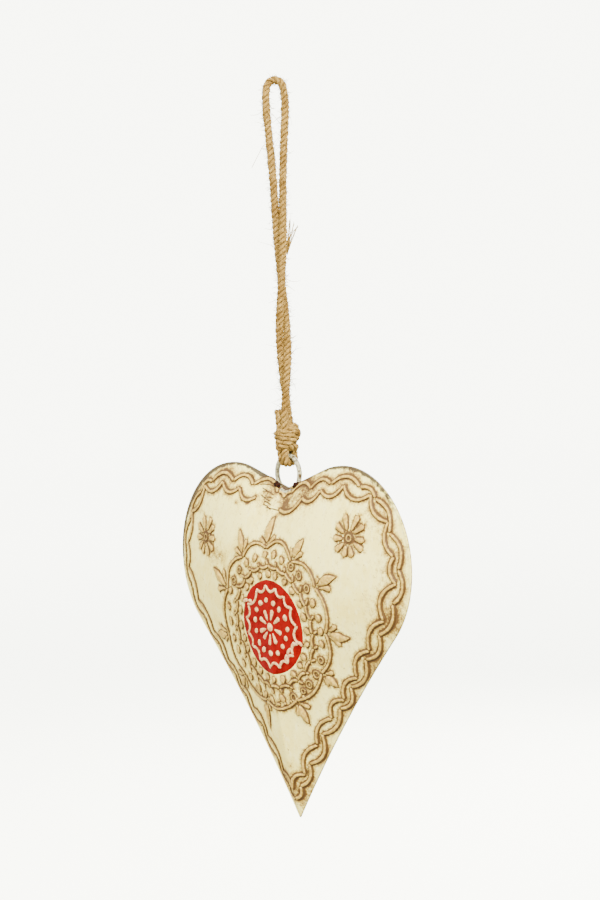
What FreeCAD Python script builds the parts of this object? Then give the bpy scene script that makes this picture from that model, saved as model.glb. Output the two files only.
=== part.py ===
import FreeCAD, Part
import math
import os
import Sketcher

# Puffed tin heart with piped decoration, hung from a wire ring on a doubled jute cord.
# Millimetres, +Z up. The heart stands in the XZ plane with its front towards -Y.
# The origin is the inside top of the cord's eye, where the ornament hangs on its nail.

DIMENSIONS = (
    ("heart_width", 152, "across both lobes"),
    ("heart_height", 146.2, "top of the lobes to the tip"),
    ("lobe_share", 0.2612, "outline radius of each lobe, of the width"),
    ("cleft_drop", 9.8, "top of the lobes down to the bottom of the cleft"),
    ("flank_radius", 600, "radius of the slightly hollow flanks"),
    ("crown_share", 0.357, "top of the lobes down to the crown of the dome, of the height"),
    ("dome_height", 12, "rise of each pressed half above its flange"),
    ("dome_fullness", 2.2, "power of the dome's profile, higher is fuller"),
    ("sheet_thickness", 0.5, "tin sheet"),
    ("flange_width", 1, "flat seam round each half, at the widest point"),
    ("cord_diameter", 2.8, "jute cord, pulled tight"),
    ("eye_turn", 52, "degrees from +X to the plane of the cord's eye"),
    ("knot_drop", 139.5, "origin down to the top of the knot"),
    ("knot_height", 9.9, "top to bottom of the knot"),
    ("knot_diameter", 11.3, "across the knot's outer wraps"),
    ("knot_core_diameter", 10, "across the knot's belly between the wraps"),
    ("knot_neck_diameter", 8, "flat top and bottom of the knot"),
    ("knot_shoulder", 2.6, "height of the knot's sloping top and bottom edges"),
    ("knot_wrap_lean", 22, "degrees that each outer wrap leans"),
    ("knot_wrap_spread", 1.7, "height of each wrap above or below the middle"),
    ("knot_clearance", 0.3, "between the cord's legs and the knot that turns under them"),
    ("tail_offset", 4.8, "cut ends from the knot's axis"),
    ("tail_length", 10, "cut ends, from inside the knot to their tips"),
    ("left_tail_turn", -138, "degrees round the knot from the eye's plane to the left cut end"),
    ("front_tail_turn", -104, "degrees round the knot from the eye's plane to the front cut end"),
    ("tail_lean", 8, "degrees that the cut ends lean outwards"),
    ("bight_reach", 2.5, "bottom of the knot down to the ring's top wire"),
    ("bight_radius", 2.6, "centre line of the cord round the ring's top wire"),
    ("bight_thickness", 2.2, "cord squeezed against the wire"),
    ("bight_gap", 0.1, "between the two strands of the bight"),
    ("ring_diameter", 14.8, "centre line of the hanging ring"),
    ("ring_wire", 2, "diameter of the ring's wire"),
    ("ring_seat", 2.6, "depth that the ring sinks below the bottom of the cleft"),
    ("solder_diameter", 3.4, "solder lump on each side of the ring"),
    ("solder_length", 3.2, "solder lump from front to back"),
    ("solder_angle", 56, "degrees round the ring from its lowest point to each lump"),
    ("medallion_share", 0.4528, "top of the lobes down to the middle of the medallion, of the height"),
    ("lace_margin", 0.9, "least space between the outer lace ring and the border"),
    ("enamel_share", 0.5419, "edge of the red disc, of the outer lace ring's radius"),
    ("enamel_thickness", 0.25, "red enamel over the tin"),
    ("piping_height", 0.7, "raised lines on the bare shell"),
    ("piping_width", 1.8, "raised lines on the bare shell"),
    ("fine_piping_height", 0.5, "raised lines on the enamel"),
    ("fine_piping_width", 0.9, "raised lines on the enamel"),
    ("button_diameter", 3.6, "dot in the middle of the medallion"),
    ("petal_count", 9, "petals round the button"),
    ("petal_root_share", 0.0838, "inner point of a petal, of the outer lace ring's radius"),
    ("petal_reach_share", 0.2179, "outer end of a petal"),
    ("petal_width", 2.4, "petal at its round end"),
    ("bead_count", 15, "dots on the medallion"),
    ("bead_share", 0.3017, "circle of the medallion's dots"),
    ("bead_diameter", 2.2, "a dot on the medallion"),
    ("crown_count", 15, "scallops of the medallion's pointed ring"),
    ("crown_point_share", 0.4693, "points of that ring"),
    ("crown_dip_share", 0.4078, "dips of that ring"),
    ("inner_pearl_count", 24, "dots just outside the enamel"),
    ("inner_pearl_share", 0.6089, "circle of those dots"),
    ("pearl_diameter", 2.6, "a dot on the bare shell"),
    ("collar_count", 16, "scallops of the inner lace ring"),
    ("collar_point_share", 0.743, "points of the inner lace ring"),
    ("collar_dip_share", 0.6955, "dips of the inner lace ring"),
    ("outer_pearl_count", 30, "dots between the two lace rings"),
    ("outer_pearl_share", 0.8268, "circle of those dots"),
    ("lace_count", 11, "arcs of the outer lace ring, each with a sprig at its foot"),
    ("lace_cusp_share", 0.9106, "cusps of the outer lace ring, of the radius at its bulges"),
    ("lace_turn", 2.2, "degrees that the lace leans from the upright"),
    ("sprig_root_share", 0.9665, "foot of each sprig, of the outer lace ring's radius"),
    ("sprig_length", 10.4, "long leaf in the middle of a sprig"),
    ("sprig_leaf_width", 2.7, "that leaf at its middle"),
    ("sprig_side_length", 6, "short leaves beside it"),
    ("sprig_side_width", 2.3, "a short leaf at its middle"),
    ("sprig_side_lean", 36, "degrees between the long leaf and a short one"),
    ("sprig_side_offset", 1.1, "foot of a short leaf beside the foot of the long one"),
    ("sprig_clearance", 0.2, "between a leaf and the border where they meet"),
    ("flower_inset", 28, "each flower from the widest point of its lobe"),
    ("flower_drop", 29.5, "top of the lobes down to the flowers"),
    ("flower_count", 10, "petals of a flower"),
    ("flower_root", 3.3, "inner point of a flower's petal"),
    ("flower_reach", 9.2, "outer end of a flower's petal"),
    ("flower_petal_width", 2.3, "a flower's petal at its round end"),
    ("flower_eye_diameter", 4.4, "ring in the middle of a flower"),
    ("border_count", 16, "scallops of the border along each half of the rim"),
    ("outer_strand_near", 3.6, "outer strand from the rim, at its bulges"),
    ("outer_strand_far", 6.2, "outer strand from the rim, at its cusps"),
    ("inner_strand_near", 6.8, "inner strand from the rim, at its cusps"),
    ("inner_strand_far", 10.2, "inner strand from the rim, at its bulges"),
    ("overrun", 2, "extra length of a cutting or trimming shape"),
)

# Outlines that the dome passes through, as shares of its own rim outline.
DOME_SHARES = (1, 0.88, 0.73, 0.56, 0.38, 0.18)

# Facets that stand for a dot or a wire, a cord, a lobe, a flank and one arc of a scalloped line.
ROUND_FACETS = 7
WIRE_FACETS = 8
CORD_FACETS = 6
KNOT_SIDES = 18
LOBE_FACETS = 12
FLANK_FACETS = 5
SCALLOP_FACETS = 4

# Each sprig's length as a share of the full one, clockwise from the top: those beside the
# flanks are cut short by the border.
SPRIG_LENGTH_SHARES = (0.9, 1, 1, 0.95, 0.62, 0.7, 1, 0.62, 0.95, 1, 1)

# The cord from the knot up one leg, round the eye and down the other leg: distance across
# in the plane of the eye, distance out of that plane towards the front, and height.
CORD_ROUTE = (
    (1.25, -1.1, -139.2),
    (0.1, -1.65, -127.5),
    (-1.15, -1.2, -116),
    (-1.65, 0.1, -104.5),
    (-1.2, 1.15, -93),
    (0, 1.65, -81),
    (1.2, 1.2, -64.5),
    (1.7, 0.1, -48.5),
    (2.1, -0.1, -36.5),
    (3.0, 0.15, -23.5),
    (3.85, 0, -12.8),
    (3.95, -0.1, -6.2),
    (3.35, 0, -0.1),
    (0, 0, 1.85),
    (-3.3, 0, -0.1),
    (-3.8, 0.1, -6.4),
    (-3.65, -0.1, -13.2),
    (-2.85, -0.15, -24),
    (-2.05, 0.1, -37),
    (-1.7, -0.1, -49),
    (-1.2, -1.2, -65),
    (0, -1.65, -81.5),
    (1.2, -1.15, -93.5),
    (1.65, -0.1, -105),
    (1.15, 1.2, -116.5),
    (-0.1, 1.65, -128),
    (-1.25, 1.1, -139.2),
)

# Share of the shorter run beside a corner that the corner's arc takes up.
CORNER_SHARE = 0.45

FULL_TURN = 360
UP = FreeCAD.Vector(0, 0, 1)
FORWARD = FreeCAD.Vector(0, -1, 0)
# Turns a sketch upright: its x stays X, its y becomes Z and it faces the front.
UPRIGHT = FreeCAD.Rotation(FreeCAD.Vector(1, 0, 0), 90)

# Heights of the main features, from the origin down.
WIRE_Z = "(-dims.knot_drop - dims.knot_height - dims.bight_reach)"
RING_Z = f"({WIRE_Z} - dims.ring_diameter / 2)"
CLEFT_Z = f"({RING_Z} - dims.ring_diameter / 2 - dims.ring_wire / 2 + dims.ring_seat)"
LOBE_Z = f"({CLEFT_Z} + dims.cleft_drop)"
CROWN_DROP = "(dims.heart_height * dims.crown_share)"
CROWN_Z = f"({LOBE_Z} - {CROWN_DROP})"
MEDALLION_Z = f"({LOBE_Z} - dims.heart_height * dims.medallion_share)"
FLOWER_Z = f"({LOBE_Z} - dims.flower_drop)"

# Lobe centre and tip of the outline, from the crown of the dome.
LOBE_RADIUS = "(dims.heart_width * dims.lobe_share)"
LOBE_ACROSS = f"(dims.heart_width / 2 - {LOBE_RADIUS})"
LOBE_ABOVE = f"({CROWN_DROP} - {LOBE_RADIUS})"
CLEFT_ABOVE = f"({CROWN_DROP} - dims.cleft_drop)"
TIP_BELOW = f"(dims.heart_height - {CROWN_DROP})"
DOME_RIM_SHARE = "(1 - 2 * dims.flange_width / dims.heart_width)"

# Circles of the medallion, from the bulges of its outer lace ring inwards.
LACE_BULGE = "(dims.medallion_room - dims.inner_strand_far - dims.piping_width - dims.lace_margin)"
FLOWER_SPREAD = "(dims.heart_width / 2 - dims.flower_inset)"

doc = FreeCAD.newDocument("tin_heart")
sheet = doc.addObject("Spreadsheet::Sheet", "dims")
for row, (alias, number, note) in enumerate(DIMENSIONS, start=1):
    sheet.set(f"A{row}", alias)
    sheet.set(f"B{row}", str(number))
    sheet.set(f"C{row}", note)
    sheet.setAlias(f"B{row}", alias)
doc.recompute()


def medallion_circle(share):
    return f"({LACE_BULGE} * dims.{share})"


def measure(expression):
    return float(sheet.evalExpression(expression))


def size(alias):
    return measure(f"dims.{alias}")


def bind(sketch, kind, references, expression):
    index = sketch.addConstraint(Sketcher.Constraint(kind, *references, measure(expression)))
    sketch.setExpression(f"Constraints[{index}]", expression)


def join(sketch, kind, *references):
    sketch.addConstraint(Sketcher.Constraint(kind, *references))


def place(feature, across="0", forward="0", height="0"):
    feature.setExpression("Placement.Base.x", across)
    feature.setExpression("Placement.Base.y", f"-({forward})")
    feature.setExpression("Placement.Base.z", height)


def at_angle(radius, angle):
    return FreeCAD.Vector(radius * math.cos(angle), radius * math.sin(angle), 0)


def closed_outline(sketch, points):
    """Straight lines through the points and back to the first, joined at their ends."""
    first = sketch.GeometryCount
    count = len(points)
    lines = [Part.LineSegment(points[number], points[(number + 1) % count]) for number in range(count)]
    sketch.addGeometry(lines, False)
    for number in range(count):
        join(sketch, "Coincident", first + number, 2, first + (number + 1) % count, 1)
    return first


def bound_outline(sketch, corners):
    """A closed outline whose corners are expressions, measured from the sketch's origin."""
    points = [FreeCAD.Vector(measure(across), measure(above), 0) for across, above in corners]
    first = closed_outline(sketch, points)
    for number, (across, above) in enumerate(corners, start=first):
        bind(sketch, "DistanceX", (-1, 1, number, 1), across)
        bind(sketch, "DistanceY", (-1, 1, number, 1), above)


def round_outline(sketch, width, depth, across="0", above="0", facets=ROUND_FACETS):
    """A circle or an oval as facets."""
    corners = []
    for number in range(facets):
        angle = (number + 0.5) * FULL_TURN / facets
        corners.append((f"{across} + {width} / 2 * cos({angle})",
                        f"{above} + {depth} / 2 * sin({angle})"))
    bound_outline(sketch, corners)


# Outline of the heart

def direction_angle(vector):
    return math.atan2(vector.y, vector.x)


def heart_outline(scale):
    """The right half of the outline about the dome's crown, as its defining points."""
    lobe = FreeCAD.Vector(measure(LOBE_ACROSS), measure(LOBE_ABOVE), 0) * scale
    cleft = FreeCAD.Vector(0, measure(CLEFT_ABOVE), 0) * scale
    tip = FreeCAD.Vector(0, -measure(TIP_BELOW), 0) * scale
    lobe_radius = measure(LOBE_RADIUS) * scale
    flank_radius = size("flank_radius") * scale

    span = (tip - lobe).Length
    along = (tip - lobe) / span
    reach = ((flank_radius + lobe_radius) ** 2 - flank_radius ** 2 + span ** 2) / (2 * span)
    offset = math.sqrt((flank_radius + lobe_radius) ** 2 - reach ** 2)
    flank = lobe + along * reach + FreeCAD.Vector(-along.y, along.x, 0) * offset
    shoulder = direction_angle(flank - lobe)

    inward = lobe - cleft
    touch = math.acos(lobe_radius / inward.Length)
    summit = direction_angle(cleft - lobe) - touch
    return {
        "cleft": cleft,
        "tip": tip,
        "lobe": lobe,
        "lobe_radius": lobe_radius,
        "summit": summit % (2 * math.pi),
        "shoulder": shoulder,
        "flank": flank,
        "flank_radius": flank_radius,
    }


def arc_about(centre, radius, start, end):
    return Part.ArcOfCircle(Part.Circle(centre, UP, radius), start, end)


def mirrored(vector):
    return FreeCAD.Vector(-vector.x, vector.y, 0)


def heart_sketch(name, scale, forward):
    """One outline of the heart, scaled about the crown, at a distance in front of the seam."""
    sketch = doc.addObject("Sketcher::SketchObject", name)
    sketch.Placement = FreeCAD.Placement(FreeCAD.Vector(), UPRIGHT)
    place(sketch, forward=forward, height=CROWN_Z)
    half = heart_outline(measure(scale))
    touch = half["lobe"] + at_angle(half["lobe_radius"], half["summit"])
    tip_angle = direction_angle(half["tip"] - half["flank"])
    shoulder_angle = half["shoulder"] + math.pi
    sketch.addGeometry([
        Part.LineSegment(half["cleft"], touch),
        arc_about(half["lobe"], half["lobe_radius"], half["shoulder"], half["summit"]),
        arc_about(half["flank"], half["flank_radius"], shoulder_angle, tip_angle % (2 * math.pi)),
        arc_about(mirrored(half["flank"]), half["flank_radius"],
                  math.pi - tip_angle, math.pi - shoulder_angle),
        arc_about(mirrored(half["lobe"]), half["lobe_radius"],
                  math.pi - half["summit"], math.pi - half["shoulder"]),
        Part.LineSegment(mirrored(touch), half["cleft"]),
    ], False)
    join(sketch, "Tangent", 0, 2, 1, 2)
    join(sketch, "Tangent", 1, 1, 2, 1)
    join(sketch, "Tangent", 3, 2, 4, 2)
    join(sketch, "Tangent", 4, 1, 5, 1)
    join(sketch, "Coincident", 2, 2, 3, 1)
    join(sketch, "Coincident", 5, 2, 0, 1)
    join(sketch, "PointOnObject", 0, 1, -2)
    join(sketch, "PointOnObject", 2, 2, -2)
    join(sketch, "Equal", 1, 4)
    join(sketch, "Equal", 2, 3)
    join(sketch, "Symmetric", 1, 3, 4, 3, -2)
    bind(sketch, "Radius", (1,), f"{LOBE_RADIUS} * {scale}")
    bind(sketch, "Radius", (2,), f"dims.flank_radius * {scale}")
    bind(sketch, "DistanceX", (-1, 1, 1, 3), f"{LOBE_ACROSS} * {scale}")
    bind(sketch, "DistanceY", (-1, 1, 1, 3), f"{LOBE_ABOVE} * {scale}")
    bind(sketch, "DistanceY", (-1, 1, 0, 1), f"{CLEFT_ABOVE} * {scale}")
    bind(sketch, "DistanceY", (2, 2, -1, 1), f"{TIP_BELOW} * {scale}")
    return sketch


def find_medallion_room():
    """Puts the distance from the medallion's middle to the nearest point of the flanks in the sheet."""
    half = heart_outline(1)
    middle = FreeCAD.Vector(0, measure(f"{MEDALLION_Z} - {CROWN_Z}"), 0)
    room = (middle - half["flank"]).Length - half["flank_radius"]
    row = len(DIMENSIONS) + 1
    sheet.set(f"A{row}", "medallion_room")
    sheet.set(f"B{row}", str(room))
    sheet.setAlias(f"B{row}", "medallion_room")
    doc.recompute()
    print(f"medallion room {room:.2f}")


# Pressed halves of the heart

def heart_corners():
    """Corners of the faceted outline about the crown, down the right side and up the left."""
    half = heart_outline(1)
    right = []
    for step in range(LOBE_FACETS):
        turn = (half["shoulder"] - half["summit"]) * step / LOBE_FACETS
        right.append(half["lobe"] + at_angle(half["lobe_radius"], half["summit"] + turn))
    start = half["shoulder"] + math.pi
    end = direction_angle(half["tip"] - half["flank"]) % (2 * math.pi)
    for step in range(FLANK_FACETS):
        turn = (end - start) * step / FLANK_FACETS
        right.append(half["flank"] + at_angle(half["flank_radius"], start + turn))
    left = [mirrored(point) for point in reversed(right)]
    return [half["cleft"]] + right + [half["tip"]] + left


def facet(corners):
    return Part.Face(Part.makePolygon(corners + corners[:1]))


def dome_shape():
    """The dome's solid form about its crown, standing on the seam's plane, in flat facets."""
    outline = heart_corners()
    layers = []
    for share in DOME_SHARES:
        scale = share * measure(DOME_RIM_SHARE)
        rise = size("dome_height") * (1 - share ** size("dome_fullness"))
        layers.append([FreeCAD.Vector(corner.x * scale, -rise, corner.y * scale) for corner in outline])
    faces = [facet(layers[0]), facet(layers[-1])]
    for lower, upper in zip(layers, layers[1:]):
        for number in range(-1, len(outline) - 1):
            faces.append(facet([lower[number], lower[number + 1], upper[number + 1], upper[number]]))
    return Part.Solid(Part.Shell(faces))


def dome(name, forward):
    """The dome moved forwards by a distance from its place on the flange."""
    solid = doc.addObject("Part::Feature", name)
    solid.Shape = dome_shape()
    place(solid, forward=f"dims.sheet_thickness + {forward}", height=CROWN_Z)
    return solid


def boolean(kind, name, base, tool):
    feature = doc.addObject(kind, name)
    feature.Base = base
    feature.Tool = tool
    return feature


def pressed_half(face):
    """A flat flange and a dome pressed from one sheet, hollow behind, and its solid form."""
    flange = doc.addObject("Part::Extrusion", "flange")
    flange.Base = heart_sketch("rim_outline", "1", "0")
    flange.DirMode = "Custom"
    flange.Dir = FORWARD
    flange.Solid = True
    flange.setExpression("LengthFwd", "dims.sheet_thickness")
    hollow = dome("hollow", "-dims.sheet_thickness")
    blank = doc.addObject("Part::MultiFuse", "pressed_blank")
    blank.Shapes = [flange, face]
    blank.Refine = False
    return boolean("Part::Cut", "pressed_half", blank, hollow), blank


def mirrored_back(half):
    back = doc.addObject("Part::Mirroring", f"{half.Name}_back")
    back.Source = half
    back.Normal = FORWARD
    return back


# Hanging ring

def hanging_ring():
    """A closed ring of round wire, its axis along Y, made by turning the wire's section."""
    body = doc.addObject("PartDesign::Body", "hanging_ring")
    place(body, height=RING_Z)
    doc.recompute()
    section = body.newObject("Sketcher::SketchObject", "wire_section")
    section.AttachmentSupport = [(origin_plane(body, "XY_Plane"), "")]
    section.MapMode = "FlatFace"
    round_outline(section, "dims.ring_wire", "dims.ring_wire", "dims.ring_diameter / 2",
                  facets=WIRE_FACETS)
    turned = body.newObject("PartDesign::Revolution", "turned_wire")
    turned.Profile = section
    turned.ReferenceAxis = (section, ["V_Axis"])
    turned.Angle = FULL_TURN
    return body


def origin_plane(body, role):
    return next(item for item in body.Origin.OriginFeatures if item.Role == role)


def ring_solder(ring, blank):
    """Two lumps of solder in the corners between the ring and the outside of the cleft."""
    lumps = []
    for name, side in (("solder_left", "-1"), ("solder_right", "1")):
        lump = doc.addObject("Part::Prism", name)
        lump.Polygon = ROUND_FACETS
        lump.setExpression("Circumradius", "dims.solder_diameter / 2")
        lump.setExpression("Height", "dims.solder_length")
        lump.Placement = FreeCAD.Placement(FreeCAD.Vector(), UPRIGHT)
        place(lump, across=f"{side} * dims.ring_diameter / 2 * sin(dims.solder_angle)",
              forward="-dims.solder_length / 2",
              height=f"{RING_Z} - dims.ring_diameter / 2 * cos(dims.solder_angle)")
        lumps.append(lump)
    both = doc.addObject("Part::Compound", "solder_lumps")
    both.Links = lumps
    seat = doc.addObject("Part::Compound", "solder_seat")
    seat.Links = [ring, blank, mirrored_back(blank)]
    return boolean("Part::Cut", "ring_solder", both, seat)


# Jute cord

def eye_frame():
    turn = math.radians(size("eye_turn"))
    across = FreeCAD.Vector(math.cos(turn), math.sin(turn), 0)
    outward = FreeCAD.Vector(math.sin(turn), -math.cos(turn), 0)
    return across, outward


def cord_points():
    across, outward = eye_frame()
    return [across * right + outward * out + UP * height for right, out, height in CORD_ROUTE]


def corner_arc(before, corner, after):
    """The arc at a corner: its two ends, its middle and its radius."""
    back = before - corner
    ahead = after - corner
    turn = math.pi - back.getAngle(ahead)
    trim = CORNER_SHARE * min(back.Length, ahead.Length)
    radius = trim / math.tan(turn / 2)
    back.normalize()
    ahead.normalize()
    middle = back + ahead
    middle.normalize()
    depth = radius / math.cos(turn / 2) - radius
    return corner + back * trim, corner + middle * depth, corner + ahead * trim, radius


def cord_path():
    points = cord_points()
    edges = []
    radii = []
    start = points[0]
    for before, corner, after in zip(points, points[1:], points[2:]):
        arc_start, arc_middle, arc_end, radius = corner_arc(before, corner, after)
        edges.append(Part.LineSegment(start, arc_start).toShape())
        edges.append(Part.Arc(arc_start, arc_middle, arc_end).toShape())
        radii.append(radius)
        start = arc_end
    edges.append(Part.LineSegment(start, points[-1]).toShape())
    print("cord radii", [round(radius, 1) for radius in radii])
    return Part.Wire(edges)


def cord_loop():
    """The two legs and the eye: one unbroken length of cord, swept along its route."""
    path = doc.addObject("Part::Feature", "cord_path")
    path.Shape = cord_path()
    section = doc.addObject("Part::RegularPolygon", "cord_section")
    section.Polygon = CORD_FACETS
    section.setExpression("Circumradius", "dims.cord_diameter / 2")
    points = cord_points()
    section.Placement = FreeCAD.Placement(points[0], FreeCAD.Rotation(UP, points[1] - points[0]))
    tube = doc.addObject("Part::Sweep", "cord_loop")
    tube.Sections = [section]
    tube.Spine = (path, [f"Edge{number + 1}" for number in range(len(path.Shape.Edges))])
    tube.Solid = True
    tube.Frenet = False
    return tube


def turned_facets(name, profile):
    """A closed profile of radii and heights, turned about Z in flat facets."""
    slices = []
    for side in range(KNOT_SIDES):
        angle = 2 * math.pi * side / KNOT_SIDES
        slices.append([at_angle(radius, angle) + UP * height for radius, height in profile])
    faces = []
    for side in range(-1, KNOT_SIDES - 1):
        for number in range(-1, len(profile) - 1):
            corners = [slices[side][number], slices[side][number + 1]]
            for corner in (slices[side + 1][number + 1], slices[side + 1][number]):
                if corner not in corners:
                    corners.append(corner)
            if len(corners) > 2:
                faces.append(facet(corners))
    solid = doc.addObject("Part::Feature", name)
    solid.Shape = Part.Solid(Part.Shell(faces))
    return solid


def knot_wrap(name, axis, side):
    """One turn of cord round the knot, leaning about a level axis, above or below the middle."""
    circle = (size("knot_diameter") - size("cord_diameter")) / 2
    profile = []
    for number in range(CORD_FACETS):
        corner = at_angle(size("cord_diameter") / 2, 2 * math.pi * number / CORD_FACETS)
        profile.append((circle + corner.x, corner.y))
    wrap = turned_facets(name, profile)
    wrap.Placement = FreeCAD.Placement(FreeCAD.Vector(), FreeCAD.Rotation(axis, 1))
    wrap.setExpression("Placement.Rotation.Angle", "dims.knot_wrap_lean")
    place(wrap, height=f"-dims.knot_drop - dims.knot_height / 2 + {side} * dims.knot_wrap_spread")
    return wrap


def knot():
    """The overhand knot pulled tight: a turned core with two wraps leaning across it."""
    neck = size("knot_neck_diameter") / 2
    belly = size("knot_core_diameter") / 2
    height = size("knot_height")
    shoulder = size("knot_shoulder")
    core = turned_facets("knot_core", [
        (0, 0), (neck, 0), (belly, -shoulder), (belly, shoulder - height), (neck, -height), (0, -height),
    ])
    place(core, height="-dims.knot_drop")
    across, outward = eye_frame()
    wraps = [knot_wrap("upper_wrap", outward, "1"), knot_wrap("lower_wrap", across, "-1")]
    whole = doc.addObject("Part::MultiFuse", "knot")
    whole.Shapes = [core] + wraps
    whole.Refine = False
    return whole


def tails(knot_solid):
    """The two cut ends, standing up beside the legs where they leave the knot."""
    across, outward = eye_frame()
    ends = []
    for name, turn in (("left_tail", "left_tail_turn"), ("front_tail", "front_tail_turn")):
        end = doc.addObject("Part::Prism", name)
        end.Polygon = CORD_FACETS
        end.setExpression("Circumradius", "dims.cord_diameter / 2")
        end.setExpression("Height", "dims.tail_length")
        angle = math.radians(size(turn))
        side = across * math.cos(angle) - outward * math.sin(angle)
        end.Placement = FreeCAD.Placement(FreeCAD.Vector(), FreeCAD.Rotation(UP.cross(side), 1))
        end.setExpression("Placement.Rotation.Angle", "dims.tail_lean")
        place(end, across=f"{side.x} * dims.tail_offset", forward=f"{-side.y} * dims.tail_offset",
              height="-dims.knot_drop - dims.knot_height / 2")
        ends.append(end)
    both = doc.addObject("Part::Compound", "tail_ends")
    both.Links = ends
    return boolean("Part::Cut", "tails", both, knot_solid)


def bight():
    """Two strands side by side, down in front, under the ring's top wire and up behind."""
    strands = []
    for name, side in (("left_strand", "-1"), ("right_strand", "1")):
        body = doc.addObject("PartDesign::Body", name)
        place(body, across=f"{side} * (dims.cord_diameter + dims.bight_gap) / 2", height=WIRE_Z)
        doc.recompute()
        path = body.newObject("Sketcher::SketchObject", f"{name}_path")
        path.AttachmentSupport = [(origin_plane(body, "YZ_Plane"), "")]
        path.MapMode = "FlatFace"
        radius = size("bight_radius")
        reach = size("bight_reach")
        path.addGeometry([
            Part.LineSegment(FreeCAD.Vector(-radius, reach, 0), FreeCAD.Vector(-radius, 0, 0)),
            arc_about(FreeCAD.Vector(), radius, math.pi, 2 * math.pi),
            Part.LineSegment(FreeCAD.Vector(radius, 0, 0), FreeCAD.Vector(radius, reach, 0)),
        ], False)
        join(path, "Tangent", 0, 2, 1, 1)
        join(path, "Tangent", 1, 2, 2, 1)
        join(path, "Coincident", 1, 3, -1, 1)
        join(path, "Vertical", 0)
        join(path, "Equal", 0, 2)
        bind(path, "Radius", (1,), "dims.bight_radius")
        bind(path, "DistanceY", (0, 2, 0, 1), "dims.bight_reach")
        section = body.newObject("Sketcher::SketchObject", f"{name}_section")
        section.AttachmentSupport = [(origin_plane(body, "XY_Plane"), "")]
        section.MapMode = "FlatFace"
        section.setExpression("AttachmentOffset.Base.z", "dims.bight_reach")
        section.setExpression("AttachmentOffset.Base.y", "-dims.bight_radius")
        round_outline(section, "dims.cord_diameter", "dims.bight_thickness", facets=CORD_FACETS)
        pipe = body.newObject("PartDesign::AdditivePipe", f"{name}_pipe")
        pipe.Profile = section
        pipe.Spine = (path, ["Edge1", "Edge2", "Edge3"])
        strands.append(body)
    both = doc.addObject("Part::Compound", "bight")
    both.Links = strands
    return both


# Piped decoration

def motif_body(name, across, height):
    """A body with its origin on the heart's plane at the middle of a round motif."""
    body = doc.addObject("PartDesign::Body", name)
    body.AllowCompound = True
    body.Placement = FreeCAD.Placement(FreeCAD.Vector(), FreeCAD.Rotation(FreeCAD.Vector(0, 1, 0), 0))
    place(body, across=across, height=height)
    doc.recompute()
    return body


def motif_sketch(body, name):
    sketch = body.newObject("Sketcher::SketchObject", name)
    sketch.AttachmentSupport = [(origin_plane(body, "XZ_Plane"), "")]
    sketch.MapMode = "FlatFace"
    return sketch


def pad_forward(body, sketch):
    pad = body.newObject("PartDesign::Pad", f"{sketch.Name}_pad")
    pad.Profile = sketch
    pad.setExpression("Length", "dims.sheet_thickness + dims.dome_height + dims.overrun")
    return pad


def repeat_round(body, sketch, pad, count):
    pattern = body.newObject("PartDesign::PolarPattern", f"{sketch.Name}_ring")
    pattern.Originals = [pad]
    pattern.Axis = (sketch, ["N_Axis"])
    pattern.Angle = FULL_TURN
    pattern.setExpression("Occurrences", f"dims.{count}")
    body.Tip = pattern
    return pattern


def dot(sketch, circle, diameter):
    """A dot above the middle of the motif."""
    round_outline(sketch, diameter, diameter, "0", circle)


def drop(sketch, root, reach, width):
    """A petal: a point near the middle of the motif that widens to a round end."""
    radius = f"({width} / 2)"
    centre = f"({reach} - {radius})"
    flare = f"asin({radius} / ({centre} - {root}))"
    corners = [("0", root)]
    for step in range(SCALLOP_FACETS + 1):
        angle = f"({step / SCALLOP_FACETS} * (180 deg + 2 * {flare}) - {flare})"
        corners.append((f"{radius} * cos({angle})", f"{centre} + {radius} * sin({angle})"))
    bound_outline(sketch, corners)


def scallop_edge(count, cusp, middle):
    """One arc from cusp to cusp about the upright, as facets. A sagging arc's radius is negative."""
    half_turn = f"(180 / dims.{count})"
    run = f"({cusp} * sin({half_turn}))"
    rise = f"({middle} - {cusp} * cos({half_turn}))"
    radius = f"(({run} ^ 2 + {rise} ^ 2) / (2 * {rise}))"
    corners = []
    for step in range(SCALLOP_FACETS + 1):
        angle = f"({2 * step / SCALLOP_FACETS - 1} * asin({run} / {radius}))"
        corners.append((f"{radius} * sin({angle})", f"{middle} - {radius} * (1 - cos({angle}))"))
    return corners


def scallop(sketch, count, cusp, middle, width):
    """One arc of a scalloped line, at a constant width."""
    outer = scallop_edge(count, f"({cusp} + {width} / 2)", f"({middle} + {width} / 2)")
    inner = scallop_edge(count, f"({cusp} - {width} / 2)", f"({middle} - {width} / 2)")
    bound_outline(sketch, outer + list(reversed(inner)))


def scalloped_ring(name, count, cusp, middle, width, turn="0"):
    body = motif_body(name, "0", MEDALLION_Z)
    body.setExpression("Placement.Rotation.Angle", turn)
    sketch = motif_sketch(body, f"{name}_arc")
    scallop(sketch, count, cusp, middle, width)
    repeat_round(body, sketch, pad_forward(body, sketch), count)
    return body


def dotted_ring(name, count, circle, diameter):
    body = motif_body(name, "0", MEDALLION_Z)
    sketch = motif_sketch(body, f"{name}_dot")
    dot(sketch, circle, diameter)
    repeat_round(body, sketch, pad_forward(body, sketch), count)
    return body


def daisy(name, across, height, count, petal, eye):
    """Petals round an eye, which is a plain dot."""
    body = motif_body(name, across, height)
    petals = motif_sketch(body, f"{name}_petal")
    drop(petals, *petal)
    repeat_round(body, petals, pad_forward(body, petals), count)
    middle = motif_sketch(body, f"{name}_eye")
    dot(middle, "0", eye)
    body.Tip = pad_forward(body, middle)
    return body


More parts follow.
